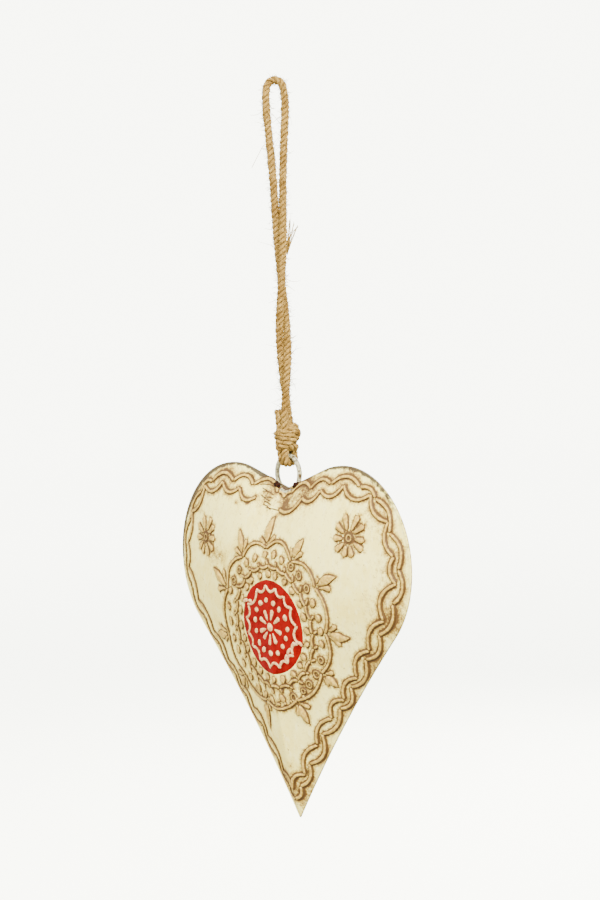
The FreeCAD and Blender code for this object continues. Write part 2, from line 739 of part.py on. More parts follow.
def enamel_disc():
    body = motif_body("enamel_blank", "0", MEDALLION_Z)
    sketch = motif_sketch(body, "enamel_edge")
    radius = medallion_circle("enamel_share")
    sketch.addGeometry(Part.Circle(FreeCAD.Vector(), UP, measure(radius)), False)
    join(sketch, "Coincident", 0, 3, -1, 1)
    bind(sketch, "Radius", (0,), radius)
    body.Tip = pad_forward(body, sketch)
    return body


def forward_prisms(name, faces):
    """Straight prisms that run from the heart's plane out past the dome."""
    depth = measure("dims.sheet_thickness + dims.dome_height + dims.overrun")
    feature = doc.addObject("Part::Feature", name)
    feature.Shape = Part.makeCompound([face.extrude(FORWARD * depth) for face in faces])
    return feature


def upright_face(wires, height):
    """Turns flat wires upright onto the heart's plane, at a height."""
    placement = FreeCAD.Placement(UP * height, UPRIGHT)
    placed = []
    for wire in wires:
        copy = wire.copy()
        copy.Placement = placement
        placed.append(copy)
    return Part.makeFace(placed, "Part::FaceMakerBullseye")


def leaf_wire(root, tip, width):
    """A leaf with two curved sides that meet in points."""
    middle = (root + tip) / 2
    along = tip - root
    side = FreeCAD.Vector(-along.y, along.x, 0)
    side.normalize()
    left = Part.Arc(root, middle + side * (width / 2), tip).discretize(SCALLOP_FACETS)
    right = Part.Arc(tip, middle - side * (width / 2), root).discretize(SCALLOP_FACETS)
    return Part.makePolygon(left + right[1:])


def sprig_prisms():
    """Three leaves at each cusp of the outer lace ring, cut short where they reach the border."""
    edge = strand_wire(strand_insets("inner"), size("piping_width") / 2 + size("sprig_clearance"), 1)
    field = upright_face([edge], measure(CROWN_Z))
    faces = []
    step = FULL_TURN / round(size("lace_count"))
    height = measure(MEDALLION_Z)
    lean = math.radians(size("sprig_side_lean"))
    for number, share in enumerate(SPRIG_LENGTH_SHARES[:round(size("lace_count"))]):
        angle = math.pi / 2 + math.radians(size("lace_turn") - number * step)
        root = at_angle(measure(medallion_circle("sprig_root_share")), angle)
        tip = root + at_angle(size("sprig_length") * share, angle)
        faces.append(upright_face([leaf_wire(root, tip, size("sprig_leaf_width"))], height))
        for side in (-1, 1):
            foot = root + at_angle(size("sprig_side_offset"), angle + side * math.pi / 2)
            end = foot + at_angle(size("sprig_side_length") * share, angle + side * lean)
            faces.append(upright_face([leaf_wire(foot, end, size("sprig_side_width") * share)], height))
    trimmed = []
    for face in faces:
        trimmed.extend(face.common(field).Faces)
    return forward_prisms("sprig_blank", trimmed)


def rim_point(half, run, inset):
    """A point at a distance along the right half of the rim, set in from it square to the rim."""
    touch = half["lobe"] + at_angle(half["lobe_radius"], half["summit"])
    line_length = (touch - half["cleft"]).Length
    lobe_length = half["lobe_radius"] * (half["summit"] - half["shoulder"])
    if run < line_length:
        along = (touch - half["cleft"]) / line_length
        return half["cleft"] + along * run + FreeCAD.Vector(along.y, -along.x, 0) * inset
    if run < line_length + lobe_length:
        angle = half["summit"] - (run - line_length) / half["lobe_radius"]
        return half["lobe"] + at_angle(half["lobe_radius"] - inset, angle)
    angle = half["shoulder"] + math.pi + (run - line_length - lobe_length) / half["flank_radius"]
    return half["flank"] + at_angle(half["flank_radius"] + inset, angle)


def rim_length(half):
    touch = half["lobe"] + at_angle(half["lobe_radius"], half["summit"])
    tip_angle = direction_angle(half["tip"] - half["flank"]) % (2 * math.pi)
    return ((touch - half["cleft"]).Length
            + half["lobe_radius"] * (half["summit"] - half["shoulder"])
            + half["flank_radius"] * (tip_angle - half["shoulder"] - math.pi))


def strand_wire(insets, side, first):
    """One edge of a border strand, arc by arc round the whole rim.

    The insets alternate at every half scallop, and side moves the edge off the centre line."""
    half = heart_outline(1)
    tip_angle = math.pi / 2 - (direction_angle(half["tip"] - half["flank"]) - math.pi / 2)
    tip_slope = math.pi / 2 - abs(tip_angle)
    steps = 2 * round(size("border_count"))
    usable = rim_length(half) - max(insets) / math.tan(tip_slope)
    right = []
    for step in range(1, steps):
        right.append(rim_point(half, usable * step / steps, insets[step % 2] + side))
    top = half["cleft"] - FreeCAD.Vector(0, insets[0] + side, 0)
    bottom = half["tip"] + FreeCAD.Vector(0, (insets[0] + side) / math.sin(tip_slope), 0)
    points = [top] + right + [bottom] + [mirrored(point) for point in reversed(right)]
    corners = []
    for number in range(first, first + len(points), 2):
        trio = [points[(number + next_one) % len(points)] for next_one in range(3)]
        corners.extend(Part.Arc(*trio).discretize(SCALLOP_FACETS + 1)[1:])
    return Part.makePolygon(corners + corners[:1])


def strand_insets(name):
    return size(f"{name}_strand_far"), size(f"{name}_strand_near")


def strand_prism(name, insets, first):
    half_width = size("piping_width") / 2
    outer = strand_wire(insets, -half_width, first)
    inner = strand_wire(insets, half_width, first)
    return forward_prisms(name, [upright_face([outer, inner], measure(CROWN_Z))])


def seated(name, blank, layer):
    """Keeps the part of a straight motif that lies in a thin layer on the dome."""
    return boolean("Part::Common", name, blank, layer)


def decoration(face):
    enamel_top = dome("enamel_top", "dims.enamel_thickness")
    piping_top = dome("piping_top", "dims.piping_height")
    fine_top = dome("fine_piping_top", "dims.enamel_thickness + dims.fine_piping_height")
    enamel = boolean("Part::Cut", "enamel_layer", enamel_top, face)
    piping = boolean("Part::Cut", "piping_layer", piping_top, face)
    fine = boolean("Part::Cut", "fine_piping_layer", fine_top, enamel_top)

    half_lace = "(-180 / dims.lace_count - dims.lace_turn)"
    petal = (medallion_circle("petal_root_share"), medallion_circle("petal_reach_share"), "dims.petal_width")
    flower_petal = ("dims.flower_root", "dims.flower_reach", "dims.flower_petal_width")
    return [
        seated("medallion_enamel", enamel_disc(), enamel),
        seated("medallion_points", scalloped_ring(
            "points_blank", "crown_count", medallion_circle("crown_point_share"),
            medallion_circle("crown_dip_share"), "dims.fine_piping_width"), fine),
        seated("medallion_petals", daisy(
            "petals_blank", "0", MEDALLION_Z, "petal_count", petal, "dims.button_diameter"), fine),
        seated("medallion_dots", dotted_ring(
            "beads_blank", "bead_count", medallion_circle("bead_share"), "dims.bead_diameter"), fine),
        seated("inner_pearls", dotted_ring(
            "inner_pearls_blank", "inner_pearl_count", medallion_circle("inner_pearl_share"),
            "dims.pearl_diameter"), piping),
        seated("inner_lace", scalloped_ring(
            "collar_blank", "collar_count", medallion_circle("collar_point_share"),
            medallion_circle("collar_dip_share"), "dims.piping_width"), piping),
        seated("outer_pearls", dotted_ring(
            "outer_pearls_blank", "outer_pearl_count", medallion_circle("outer_pearl_share"),
            "dims.pearl_diameter"), piping),
        seated("outer_lace", scalloped_ring(
            "lace_blank", "lace_count", medallion_circle("lace_cusp_share"), LACE_BULGE,
            "dims.piping_width", half_lace), piping),
        seated("lace_sprigs", sprig_prisms(), piping),
        seated("right_flower", daisy(
            "right_flower_blank", FLOWER_SPREAD, FLOWER_Z, "flower_count", flower_petal,
            "dims.flower_eye_diameter"), piping),
        seated("left_flower", daisy(
            "left_flower_blank", f"-{FLOWER_SPREAD}", FLOWER_Z, "flower_count", flower_petal,
            "dims.flower_eye_diameter"), piping),
        seated("border_outer_strand", strand_prism("outer_strand_blank", strand_insets("outer"), 0), piping),
        seated("border_inner_strand", strand_prism("inner_strand_blank", strand_insets("inner"), 1), piping),
    ]


# Assembly

def build():
    find_medallion_room()
    face = dome("dome_face", "0")
    half, blank = pressed_half(face)
    ring = hanging_ring()
    front = boolean("Part::Cut", "front_shell", half, ring)
    back = boolean("Part::Cut", "back_shell", mirrored_back(half), ring)
    knot_solid = knot()
    nodes = [cord_loop(), knot_solid, bight(), tails(knot_solid), ring,
             ring_solder(ring, blank), front, back]
    return nodes + decoration(face)


def check_document():
    for item in doc.Objects:
        bad = [word for word in ("Invalid", "Error") if word in item.State]
        if bad:
            raise RuntimeError(f"{item.Label} failed: {item.getStatusString()}")


def export(nodes):
    os.makedirs("parts", exist_ok=True)
    for node in nodes:
        shape = node.Shape
        if shape.isNull() or not shape.isValid() or not shape.Solids:
            raise RuntimeError(f"{node.Label} has no sound solid")
    for node in nodes:
        node.Shape.exportStep(f"parts/{node.Label}.step")
        box = node.Shape.BoundBox
        print(f"{node.Label:22s} solids {len(node.Shape.Solids):3d} volume {node.Shape.Volume:9.2f}",
              f"x {box.XMin:7.2f} {box.XMax:7.2f} y {box.YMin:7.2f} {box.YMax:7.2f}",
              f"z {box.ZMin:8.2f} {box.ZMax:8.2f}")


parts = build()
doc.recompute()
check_document()
cord = parts[0]
cord_length = doc.getObject("cord_path").Shape.Length
cord_section = CORD_FACETS / 2 * (size("cord_diameter") / 2) ** 2 * math.sin(2 * math.pi / CORD_FACETS)
print(f"cord length {cord_length:.2f} volume {cord.Shape.Volume:.2f}",
      f"section times length {cord_section * cord_length:.2f}")
export(parts)
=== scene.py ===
import bmesh
import bpy
import math
import random
from mathutils import Matrix, Vector, kdtree, noise


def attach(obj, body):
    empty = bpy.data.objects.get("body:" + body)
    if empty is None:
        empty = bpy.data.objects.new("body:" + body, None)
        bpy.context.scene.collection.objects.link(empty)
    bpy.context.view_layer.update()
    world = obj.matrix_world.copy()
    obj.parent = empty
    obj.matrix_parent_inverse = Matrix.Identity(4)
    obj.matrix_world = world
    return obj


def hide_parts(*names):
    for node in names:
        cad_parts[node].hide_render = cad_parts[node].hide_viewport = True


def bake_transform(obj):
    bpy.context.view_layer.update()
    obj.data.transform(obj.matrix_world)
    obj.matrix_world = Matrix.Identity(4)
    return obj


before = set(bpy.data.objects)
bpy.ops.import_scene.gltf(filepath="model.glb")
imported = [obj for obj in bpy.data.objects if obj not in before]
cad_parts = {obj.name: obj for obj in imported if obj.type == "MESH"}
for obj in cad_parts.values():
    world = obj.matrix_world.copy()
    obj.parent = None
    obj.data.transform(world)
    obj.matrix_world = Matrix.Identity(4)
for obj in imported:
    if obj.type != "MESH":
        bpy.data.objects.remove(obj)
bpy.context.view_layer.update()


# Studio
# The ornament hangs over a plain pale floor that rounds up into a pale wall, in soft light from
# all round. The camera stands to the right of the heart's face, a little above it.
CAMERA_PLACE = Vector((0.91119, -0.70548, -0.09113))
CAMERA_ROLL = math.radians(-2.03)
STUDIO_RADIUS = 6
FLOOR_HEIGHT = -0.50
LIGHT_TINT = (1.0, 0.95, 0.82)
back = Vector((0.7870, -0.6149, 0.0509)).normalized()
level = Vector((-back.y, back.x, 0)).normalized()
lift = back.cross(level)
right = level * math.cos(CAMERA_ROLL) + lift * math.sin(CAMERA_ROLL)
upward = lift * math.cos(CAMERA_ROLL) - level * math.sin(CAMERA_ROLL)
camera_data = bpy.data.cameras.new("photo_camera")
camera_data.lens = 112.6
camera_data.clip_start = 0.01
camera = bpy.data.objects.new("photo_camera", camera_data)
camera.matrix_world = Matrix((
    (right.x, upward.x, back.x, CAMERA_PLACE.x),
    (right.y, upward.y, back.y, CAMERA_PLACE.y),
    (right.z, upward.z, back.z, CAMERA_PLACE.z),
    (0, 0, 0, 1),
))
bpy.context.collection.objects.link(camera)
bpy.context.scene.camera = camera


class Tone:
    """An output socket of a node tree, with arithmetic that adds the nodes it needs."""

    def __init__(self, tree, socket):
        self.tree = tree
        self.socket = socket

    def node(self, kind, inputs=None, output=0, **settings):
        made = self.tree.nodes.new(kind)
        for name, value in settings.items():
            setattr(made, name, value)
        for name, value in (inputs or {}).items():
            if isinstance(value, Tone):
                self.tree.links.new(value.socket, made.inputs[name])
            else:
                made.inputs[name].default_value = value
        return Tone(self.tree, made.outputs[output])

    def math(self, operation, first, second):
        return self.node("ShaderNodeMath", {0: first, 1: second}, operation=operation)

    def __add__(self, other):
        return self.math("ADD", self, other)

    def __radd__(self, other):
        return self.math("ADD", other, self)

    def __sub__(self, other):
        return self.math("SUBTRACT", self, other)

    def __rsub__(self, other):
        return self.math("SUBTRACT", other, self)

    def __mul__(self, other):
        return self.math("MULTIPLY", self, other)

    def between(self, low, high):
        """0 below low, 1 above high, smooth between."""
        return self.node("ShaderNodeMapRange", {"Value": self, "From Min": low, "From Max": high},
                         interpolation_type="SMOOTHSTEP")

    def blend(self, other, share):
        """This colour turning into the other by a share."""
        mixed = {0: share, 6: self, 7: other}
        return self.node("ShaderNodeMix", mixed, output=2, data_type="RGBA", clamp_factor=True)


class Finish:
    """A material whose pattern is laid out on Object coordinates in millimetres."""

    def __init__(self, name, roughness, specular=0.5):
        self.material = bpy.data.materials.new(name)
        self.material.use_nodes = True
        tree = self.material.node_tree
        self.shader = tree.nodes["Principled BSDF"]
        self.shader.inputs["Roughness"].default_value = roughness
        self.shader.inputs["Specular IOR Level"].default_value = specular
        self.start = Tone(tree, None)
        place = self.start.node("ShaderNodeTexCoord", output=3)
        self.place = self.start.node("ShaderNodeVectorMath", {0: place, "Scale": 1000.0}, operation="SCALE")

    def tint(self, red, green, blue):
        made = self.start.node("ShaderNodeRGB")
        made.socket.default_value = (red, green, blue, 1)
        return made

    def grain(self, size, detail=3.0, rough=0.55, stretch=None):
        """Noise whose lumps are about the size given, in millimetres."""
        where = self.place
        if stretch:
            where = self.start.node("ShaderNodeVectorMath", {0: where, 1: stretch}, operation="MULTIPLY")
        return self.start.node("ShaderNodeTexNoise", {
            "Vector": where, "Scale": 1 / size, "Detail": detail, "Roughness": rough})

    def mark(self, name):
        """A number that the mesh carries at each of its points."""
        return self.start.node("ShaderNodeAttribute", output=2, attribute_name=name)

    def feed(self, socket, tone):
        self.start.tree.links.new(tone.socket, self.shader.inputs[socket])

    def relief(self, height, strength, distance):
        self.feed("Normal", self.start.node("ShaderNodeBump", {
            "Height": height, "Strength": strength, "Distance": distance}))

    def on(self, thing):
        thing.data.materials.clear()
        thing.data.materials.append(self.material)
        return thing


def finished_object(name, mesh):
    thing = bpy.data.objects.new(name, mesh)
    bpy.context.collection.objects.link(thing)
    for face in mesh.polygons:
        face.use_smooth = True
    return thing


def mesh_from(shape, name):
    mesh = bpy.data.meshes.new(name)
    shape.to_mesh(mesh)
    shape.free()
    return mesh


studio_shape = bmesh.new()
bmesh.ops.create_uvsphere(studio_shape, u_segments=96, v_segments=48, radius=STUDIO_RADIUS)
for corner in studio_shape.verts:
    corner.co.z = max(corner.co.z, FLOOR_HEIGHT)
studio_floor = finished_object("studio_floor", mesh_from(studio_shape, "studio_floor"))
plain = Finish("pale_floor", roughness=0.9, specular=0.2)
plain.shader.inputs["Base Color"].default_value = (0.90, 0.91, 0.89, 1)
plain.shader.inputs["Emission Strength"].default_value = 7.0
# The floor and wall glow. Towards the middle of the floor the glow is dimmer: painted shade, paling to full
# glow far off.
far_off = plain.start.node("ShaderNodeVectorMath", {0: plain.place}, output=1, operation="LENGTH")
plain.feed("Emission Color", plain.tint(0.68, 0.72, 0.62).blend(
    plain.tint(0.98, 1, 0.88), far_off.between(600, 4200)))
plain.on(studio_floor)
studio_floor.visible_diffuse = False
studio_floor.visible_glossy = False
studio_floor.visible_shadow = False

world = bpy.data.worlds.new("soft_sky")
world.use_nodes = True
sky = world.node_tree.nodes["Background"]
sky.inputs["Color"].default_value = (1.0, 0.955, 0.82, 1)
sky.inputs["Strength"].default_value = 1.25
bpy.context.scene.world = world
for place, power, width in (
    ((1.3, -0.3, 0.9), 118, 0.6),
    ((0.2, -1.5, 0.2), 38, 1.2),
    ((-0.9, -0.9, 0.9), 26, 0.7),
    ((-0.7, 1.3, 0.4), 60, 0.8),
):
    lamp = bpy.data.lights.new("soft_box", "AREA")
    lamp.energy = power
    lamp.size = width
    lamp.color = LIGHT_TINT
    box = bpy.data.objects.new("soft_box", lamp)
    box.location = place
    box.rotation_euler = (Vector((0, 0, -0.2)) - Vector(place)).to_track_quat("-Z", "Y").to_euler()
    bpy.context.collection.objects.link(box)


# Cord
# One length of jute cord, looped over its nail: two legs wound round each other below an open
# eye. Each leg is a rope of three strands of loose brown fibre, and sheds hairs all along.
MM = 0.001
EYE_TURN = math.radians(52)
CORD_WIDTH = 2.8 * MM
CORD_STEP = 0.5 * MM
ROPE_LAY = 6.6 * MM
# Shares of a rope's width: a strand's middle, its girth, and the reach of its crest, where the painted
# groove shade gives out.
STRAND_REACH = 0.29
STRAND_GIRTH = 0.30
STRAND_CREST = 0.56
FIBRES_PER_STEP = 0.11
HAIR = 0.085 * MM
FRAYED_YARNS = 16
FORKS = ((4.4, -55.6), (6.0, -56.6), (7.4, -58.4), (3.6, -62.5))
CORD_ROUTE = (
    (1.25, -1.1, -139.2), (0.1, -1.65, -127.5), (-1.15, -1.2, -116), (-1.65, 0.1, -104.5),
    (-1.2, 1.15, -93), (0, 1.65, -81), (1.2, 1.2, -64.5), (1.7, 0.1, -48.5), (2.1, -0.1, -36.5),
    (3.0, 0.15, -23.5), (3.85, 0, -12.8), (3.95, -0.1, -6.2), (3.35, 0, -0.1), (0, 0, 1.85),
    (-3.3, 0, -0.1), (-3.8, 0.1, -6.4), (-3.65, -0.1, -13.2), (-2.85, -0.15, -24),
    (-2.05, 0.1, -37), (-1.7, -0.1, -49), (-1.2, -1.2, -65), (0, -1.65, -81.5),
    (1.2, -1.15, -93.5), (1.65, -0.1, -105), (1.15, 1.2, -116.5), (-0.1, 1.65, -128),
    (-1.25, 1.1, -139.2),
)
eye_across = Vector((math.cos(EYE_TURN), math.sin(EYE_TURN), 0))
eye_outward = Vector((math.sin(EYE_TURN), -math.cos(EYE_TURN), 0))


def eye_point(across, out, height):
    """A point by its place in the plane of the cord's eye, in front of it and above it."""
    return (eye_across * across + eye_outward * out + Vector((0, 0, height))) * MM


def mesh_of_curve(curve):
    holder = bpy.data.objects.new(curve.name, curve)
    bpy.context.collection.objects.link(holder)
    bpy.context.view_layer.update()
    seen = holder.evaluated_get(bpy.context.evaluated_depsgraph_get())
    mesh = bpy.data.meshes.new_from_object(seen)
    bpy.data.objects.remove(holder)
    bpy.data.curves.remove(curve)
    return mesh


def smooth_line(points):
    """What a smooth curve runs through when these are its control points."""
    curve = bpy.data.curves.new("smooth_line", "CURVE")
    curve.dimensions = "3D"
    spline = curve.splines.new("NURBS")
    spline.points.add(len(points) - 1)
    for knot, point in zip(spline.points, points):
        knot.co = (*point, 1)
    spline.order_u = 3
    spline.use_endpoint_u = True
    return [vertex.co.copy() for vertex in mesh_of_curve(curve).vertices]


def even_line(line, step):
    """The same line with points at even distances."""
    spaced = [line[0].copy()]
    short = step
    for start, end in zip(line, line[1:]):
        length = (end - start).length
        reach = short
        while reach <= length:
            spaced.append(start.lerp(end, reach / length))
            reach += step
        short = reach - length
    return spaced


def carried_sides(line):
    """At each point the way along and two sides that don't spin as the line turns."""
    frames = []
    side = (line[1] - line[0]).orthogonal().normalized()
    for number, point in enumerate(line):
        along = (line[min(number + 1, len(line) - 1)] - line[max(number - 1, 0)]).normalized()
        side = (side - along * side.dot(along)).normalized()
        frames.append((point, along, side, along.cross(side)))
    return frames


def drawn(name, strokes, sides, capped=True):
    """A mesh of round strokes. Each is a list of points with the radius at each."""
    curve = bpy.data.curves.new(name, "CURVE")
    curve.dimensions = "3D"
    curve.bevel_depth = 1
    curve.bevel_resolution = (sides - 4) // 2
    curve.use_fill_caps = capped
    for stroke in strokes:
        spline = curve.splines.new("POLY")
        spline.points.add(len(stroke) - 1)
        for knot, (point, radius) in zip(spline.points, stroke):
            knot.co = (*point, 1)
            knot.radius = radius
    return mesh_of_curve(curve)


def rope_strokes(line, width, seed, swell=lambda share: 1):
    """Three strands wound round an evenly spaced line, each wrapped in loose lengths of fibre."""
    rng = random.Random(seed)
    step = (line[1] - line[0]).length
    strokes = []
    for strand in range(3):
        path = []
        for number, (point, along, side, other) in enumerate(carried_sides(line)):
            turn = 2 * math.pi * (number * step / ROPE_LAY + strand / 3)
            drift = 1 + 0.12 * noise.noise(Vector((number * step * 400, strand, seed)))
            round_it = side * math.cos(turn) + other * math.sin(turn)
            path.append(point + round_it * width * STRAND_REACH * drift)
        girth = []
        for number in range(len(path)):
            lump = 1 + 0.12 * noise.noise(Vector((number * step * 700, strand + 5, seed)))
            girth.append(width * STRAND_GIRTH * lump * swell(number / len(path)))
        strokes.append(list(zip(path, girth)))
        frames = carried_sides(path)
        for fibre in range(int(len(path) * FIBRES_PER_STEP) + 6):
            first = rng.randrange(-15, len(path) - 6)
            last = min(first + rng.randint(25, 65), len(path) - 1)
            first = max(first, 0)
            turn = rng.uniform(0, 2 * math.pi)
            drift = rng.uniform(-0.07, 0.02)
            lift = rng.uniform(0.92, 1.1)
            thin = rng.uniform(0.06, 0.12) * MM
            fibre_line = []
            for number in range(first, last):
                point, along, side, other = frames[number]
                angle = turn + drift * (number - first)
                loose = lift + 0.10 * noise.noise(Vector((number * 0.11, turn, 0)))
                offset = (side * math.cos(angle) + other * math.sin(angle)) * girth[number] * loose
                fibre_line.append((point + offset, thin))
            strokes.append(fibre_line)
    return strokes


def hair_strokes(line, count, radius, reach, thickness, seed):
    """Stray hairs that leave a rope's surface, most of them leaning along it."""
    rng = random.Random(seed)
    frames = carried_sides(line)
    strokes = []
    for hair in range(count):
        point, along, side, other = frames[rng.randrange(len(frames))]
        turn = rng.uniform(0, 2 * math.pi)
        out = side * math.cos(turn) + other * math.sin(turn)
        heading = out * rng.uniform(0.3, 1) + along * rng.uniform(-1.2, 1.2)
        heading = (heading + out.cross(along) * rng.uniform(-0.8, 0.8)).normalized()
        curl = Vector((rng.uniform(-1, 1), rng.uniform(-1, 1), rng.uniform(-1, 1))) * 0.3
        length = reach * rng.uniform(0.3, 1) ** 1.5
        thin = thickness * rng.uniform(0.6, 1.2)
        place = point + out * radius * 0.9
        trail = [(place, thin)]
        for step in range(5):
            place = place + heading * length / 5
            heading = (heading + curl).normalized()
            trail.append((place, thin * (1 - step / 7)))
        strokes.append(trail)
    return strokes


def give(mesh, name, values):
    layer = mesh.attributes.new(name, "FLOAT", "POINT")
    layer.data.foreach_set("value", values)


def mark_depth(mesh, lines, width):
    """How far each point of a rope's surface is from its middle: 0 there, 1 on a strand's crest."""
    middles = [point for line in lines for point in line]
    near_line = kdtree.KDTree(len(middles))
    for number, point in enumerate(middles):
        near_line.insert(point, number)
    near_line.balance()
    crest = width * STRAND_CREST
    give(mesh, "depth", [near_line.find(vertex.co)[2] / crest for vertex in mesh.vertices])


jute = Finish("jute_fibre", roughness=0.85, specular=0.2)
fibre_grain = jute.grain(0.22, detail=4)
jute_base = jute.tint(0.12, 0.058, 0.009).blend(
    jute.tint(0.35, 0.222, 0.050), fibre_grain.between(0.3, 0.62))
jute_pale = jute.grain(1.1, detail=3).between(0.52, 0.66) * 0.6
jute_base = jute_base.blend(jute.tint(0.52, 0.36, 0.12), jute_pale)
jute_dull = jute.grain(6, detail=4).between(0.48, 0.66) * 0.65
jute_base = jute_base.blend(jute.tint(0.17, 0.088, 0.013), jute_dull)
# Painted shade: the fibre darkens where it lies deep between the strands, away from their crests.
jute_groove_shade = 1 - (jute.mark("depth") + (fibre_grain - 0.5) * 0.3).between(0.68, 1.02)
jute_base = jute_base.blend(jute.tint(0.060, 0.027, 0.003), jute_groove_shade * 0.9)
jute_flecks = jute.grain(0.9, detail=3).between(0.60, 0.70)
jute.feed("Base Color", jute_base.blend(jute.tint(0.055, 0.024, 0.003), jute_flecks * 0.85))
jute.feed("Roughness", 0.75 + fibre_grain * 0.2)
jute.relief(fibre_grain, strength=0.7, distance=0.0001)


def jute_piece(name, strokes, lines, width, sides):
    """Rope strokes as one finished piece, with painted shade in the grooves between the strands."""
    piece = finished_object(name, drawn(name, strokes, sides))
    mark_depth(piece.data, lines, width)
    return jute.on(piece)


cord_line = smooth_line([eye_point(*place) for place in CORD_ROUTE])
cord_path = even_line(cord_line, CORD_STEP)
rope = rope_strokes(cord_path, CORD_WIDTH, 3)
hanging_cord = jute_piece("hanging_cord", rope, [cord_path], CORD_WIDTH, sides=8)
rng = random.Random(9)
frayed = []
for fork in range(FRAYED_YARNS):
    lean, height = FORKS[fork % len(FORKS)]
    root = eye_across * rng.uniform(1.8, 2.9) + Vector((0, 0, rng.uniform(-70, -66)))
    bulge = eye_across * rng.uniform(3.0, 4.4) + Vector((0, 0, rng.uniform(-67, -62.5)))
    tip = eye_across * (lean + rng.uniform(-0.3, 0.3)) + Vector((0, 0, height + rng.uniform(-0.8, 0.5)))
    turned = eye_outward * rng.uniform(-0.6, 0.9)
    bend = bulge * 0.6 + tip * 0.4
    yarn = smooth_line([root * MM, (bulge + turned) * MM, (bend + turned) * MM, tip * MM])
    frayed.append([(point, (0.19 - 0.09 * number / len(yarn)) * MM) for number, point in enumerate(yarn)])
long_hair = smooth_line([eye_point(across, 0, height) for across, height in (
    (-3.0, -24.5), (-5.0, -24.2), (-7.2, -28), (-10.5, -34))])
frayed.append([(point, 0.10 * MM) for point in long_hair])
fuzz = hair_strokes(cord_path, 2600, CORD_WIDTH * STRAND_CREST, 2.8 * MM, HAIR, 4)
fuzz += hair_strokes(cord_path, 170, CORD_WIDTH * STRAND_CREST, 8 * MM, 0.090 * MM, 5)
cord_hairs = finished_object("cord_hairs", drawn("cord_hairs", fuzz + frayed, 4))
# Hairs stand clear of the grooves, so they take almost none of the painted groove shade.
give(cord_hairs.data, "depth", [0.95] * len(cord_hairs.data.vertices))
jute.on(cord_hairs)
for piece in (hanging_cord, cord_hairs):
    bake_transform(piece)
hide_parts("cord_loop")


# Knot and cut ends
# The doubled cord tied in one overhand knot and pulled tight. Its two cut ends stand up beside the
# legs, and the loop below it carries the ring.
KNOT_MIDDLE = Vector((0, 0, -144.45)) * MM
TURN_SWEEP = 372
TURN_STEPS = 60
LOOP_WIDTH = 2.6 * MM
SHORT_STEP = 0.4 * MM


def leaning_turn(drop, lean, facing, radius, start):
    """A turn of cord about the knot, tilted about a level axis that faces a given way."""
    level_axis = Matrix.Rotation(math.radians(facing), 3, "Z") @ Vector((1, 0, 0))
    tilt = Matrix.Rotation(math.radians(lean), 3, level_axis)
    line = []
    for step in range(TURN_STEPS + 1):
        angle = math.radians(start + TURN_SWEEP * step / TURN_STEPS)
        flat = Vector((math.cos(angle) * radius, math.sin(angle) * radius, 0))
        line.append(KNOT_MIDDLE + (Vector((0, 0, drop)) + tilt @ flat) * MM)
    return even_line(line, CORD_STEP)


knot_turns = [
    leaning_turn(2.6, 26, -38, 3.7, 0),
    leaning_turn(0.2, 34, -38, 4.15, 50),
    leaning_turn(-2.2, 30, -38, 3.9, 140),
    leaning_turn(-3.4, -16, -20, 3.1, 220),
    leaning_turn(1.2, -44, 60, 4.0, 120),
]
for side in (-1, 1):
    leg = [eye_point(side * across, -side * out, height) for across, out, height in (
        (1.25, 1.1, -138.6), (1.4, 0.9, -140.6), (1.6, 0, -143.5))]
    knot_turns.append(even_line(smooth_line(leg), CORD_STEP))
knot_strokes = []
for number, line in enumerate(knot_turns):
    knot_strokes += rope_strokes(line, CORD_WIDTH, 11 + number)
    knot_strokes += hair_strokes(line, 70, CORD_WIDTH / 2, 2.2 * MM, HAIR, 21 + number)
core = []  # a plump middle that fills the knot between the turns
for level in range(-11, 10):
    core.append((KNOT_MIDDLE + Vector((0, 0, level * 0.5 * MM)), (3.2 + math.cos(level * 0.17)) * MM))
tied_knot = jute_piece("tied_knot", knot_strokes + [core], knot_turns, CORD_WIDTH, sides=8)
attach(tied_knot, "knot")
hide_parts("knot")

end_strokes = []
end_lines = []
for number, turn in enumerate((-139, -103)):
    outward = eye_across * math.cos(math.radians(turn)) - eye_outward * math.sin(math.radians(turn))
    line = [KNOT_MIDDLE + (outward * (3.3 + 0.09 * height) + Vector((0, 0, height))) * MM
            for height in (0.5, 3.5, 7.5, 11.6)]
    line = even_line(smooth_line(line), SHORT_STEP)
    end_lines.append(line)
    end_strokes += rope_strokes(line, CORD_WIDTH * 0.98, 31 + number, swell=lambda share: 1 + 0.12 * share)
    end_strokes += hair_strokes(line, 60, CORD_WIDTH / 2, 2 * MM, HAIR, 33 + number)
cut_ends = jute_piece("cut_ends", end_strokes, end_lines, CORD_WIDTH, sides=6)
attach(cut_ends, "knot")
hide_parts("tails")

loop_strokes = []
loop_lines = []
for number, side in enumerate((-1.25, 1.35)):
    line = [Vector((side + aside, forward, height)) * MM for aside, forward, height in (
        (0, -1.6, -147.0), (0.3, -2.3, -149.5), (0.45, -2.85, -151.6), (0.45, -2.8, -153.6),
        (0.2, -1.4, -155.1), (0, 1.3, -155.0), (-0.3, 2.5, -153.6), (-0.3, 2.45, -151.6),
        (0, 2.0, -149.5), (0, 1.6, -147.0))]
    line = even_line(smooth_line(line), SHORT_STEP)
    loop_lines.append(line)
    loop_strokes += rope_strokes(line, LOOP_WIDTH, 41 + number)
    loop_strokes += hair_strokes(line, 40, 1.25 * MM, 1.8 * MM, HAIR, 43 + number)
ring_loop = jute_piece("ring_loop", loop_strokes, loop_lines, LOOP_WIDTH, sides=6)
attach(ring_loop, "knot")
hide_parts("bight")


# Hanging ring and its solder
# A ring of round steel wire set in the cleft between the two halves, held by a lump of solder
# on each side and painted over with the same chalky cream, which has chipped off in places. The
# lumps are near black, for burnt solder and for painted shade in the gaps beside the ring.
RING_HEIGHT = -159.3
RING_RADIUS = 7.4
WIRE_RADIUS = 1.0
LUMP_RADIUS = 1.8
RING_MIDDLE = Vector((0, 0, RING_HEIGHT)) * MM


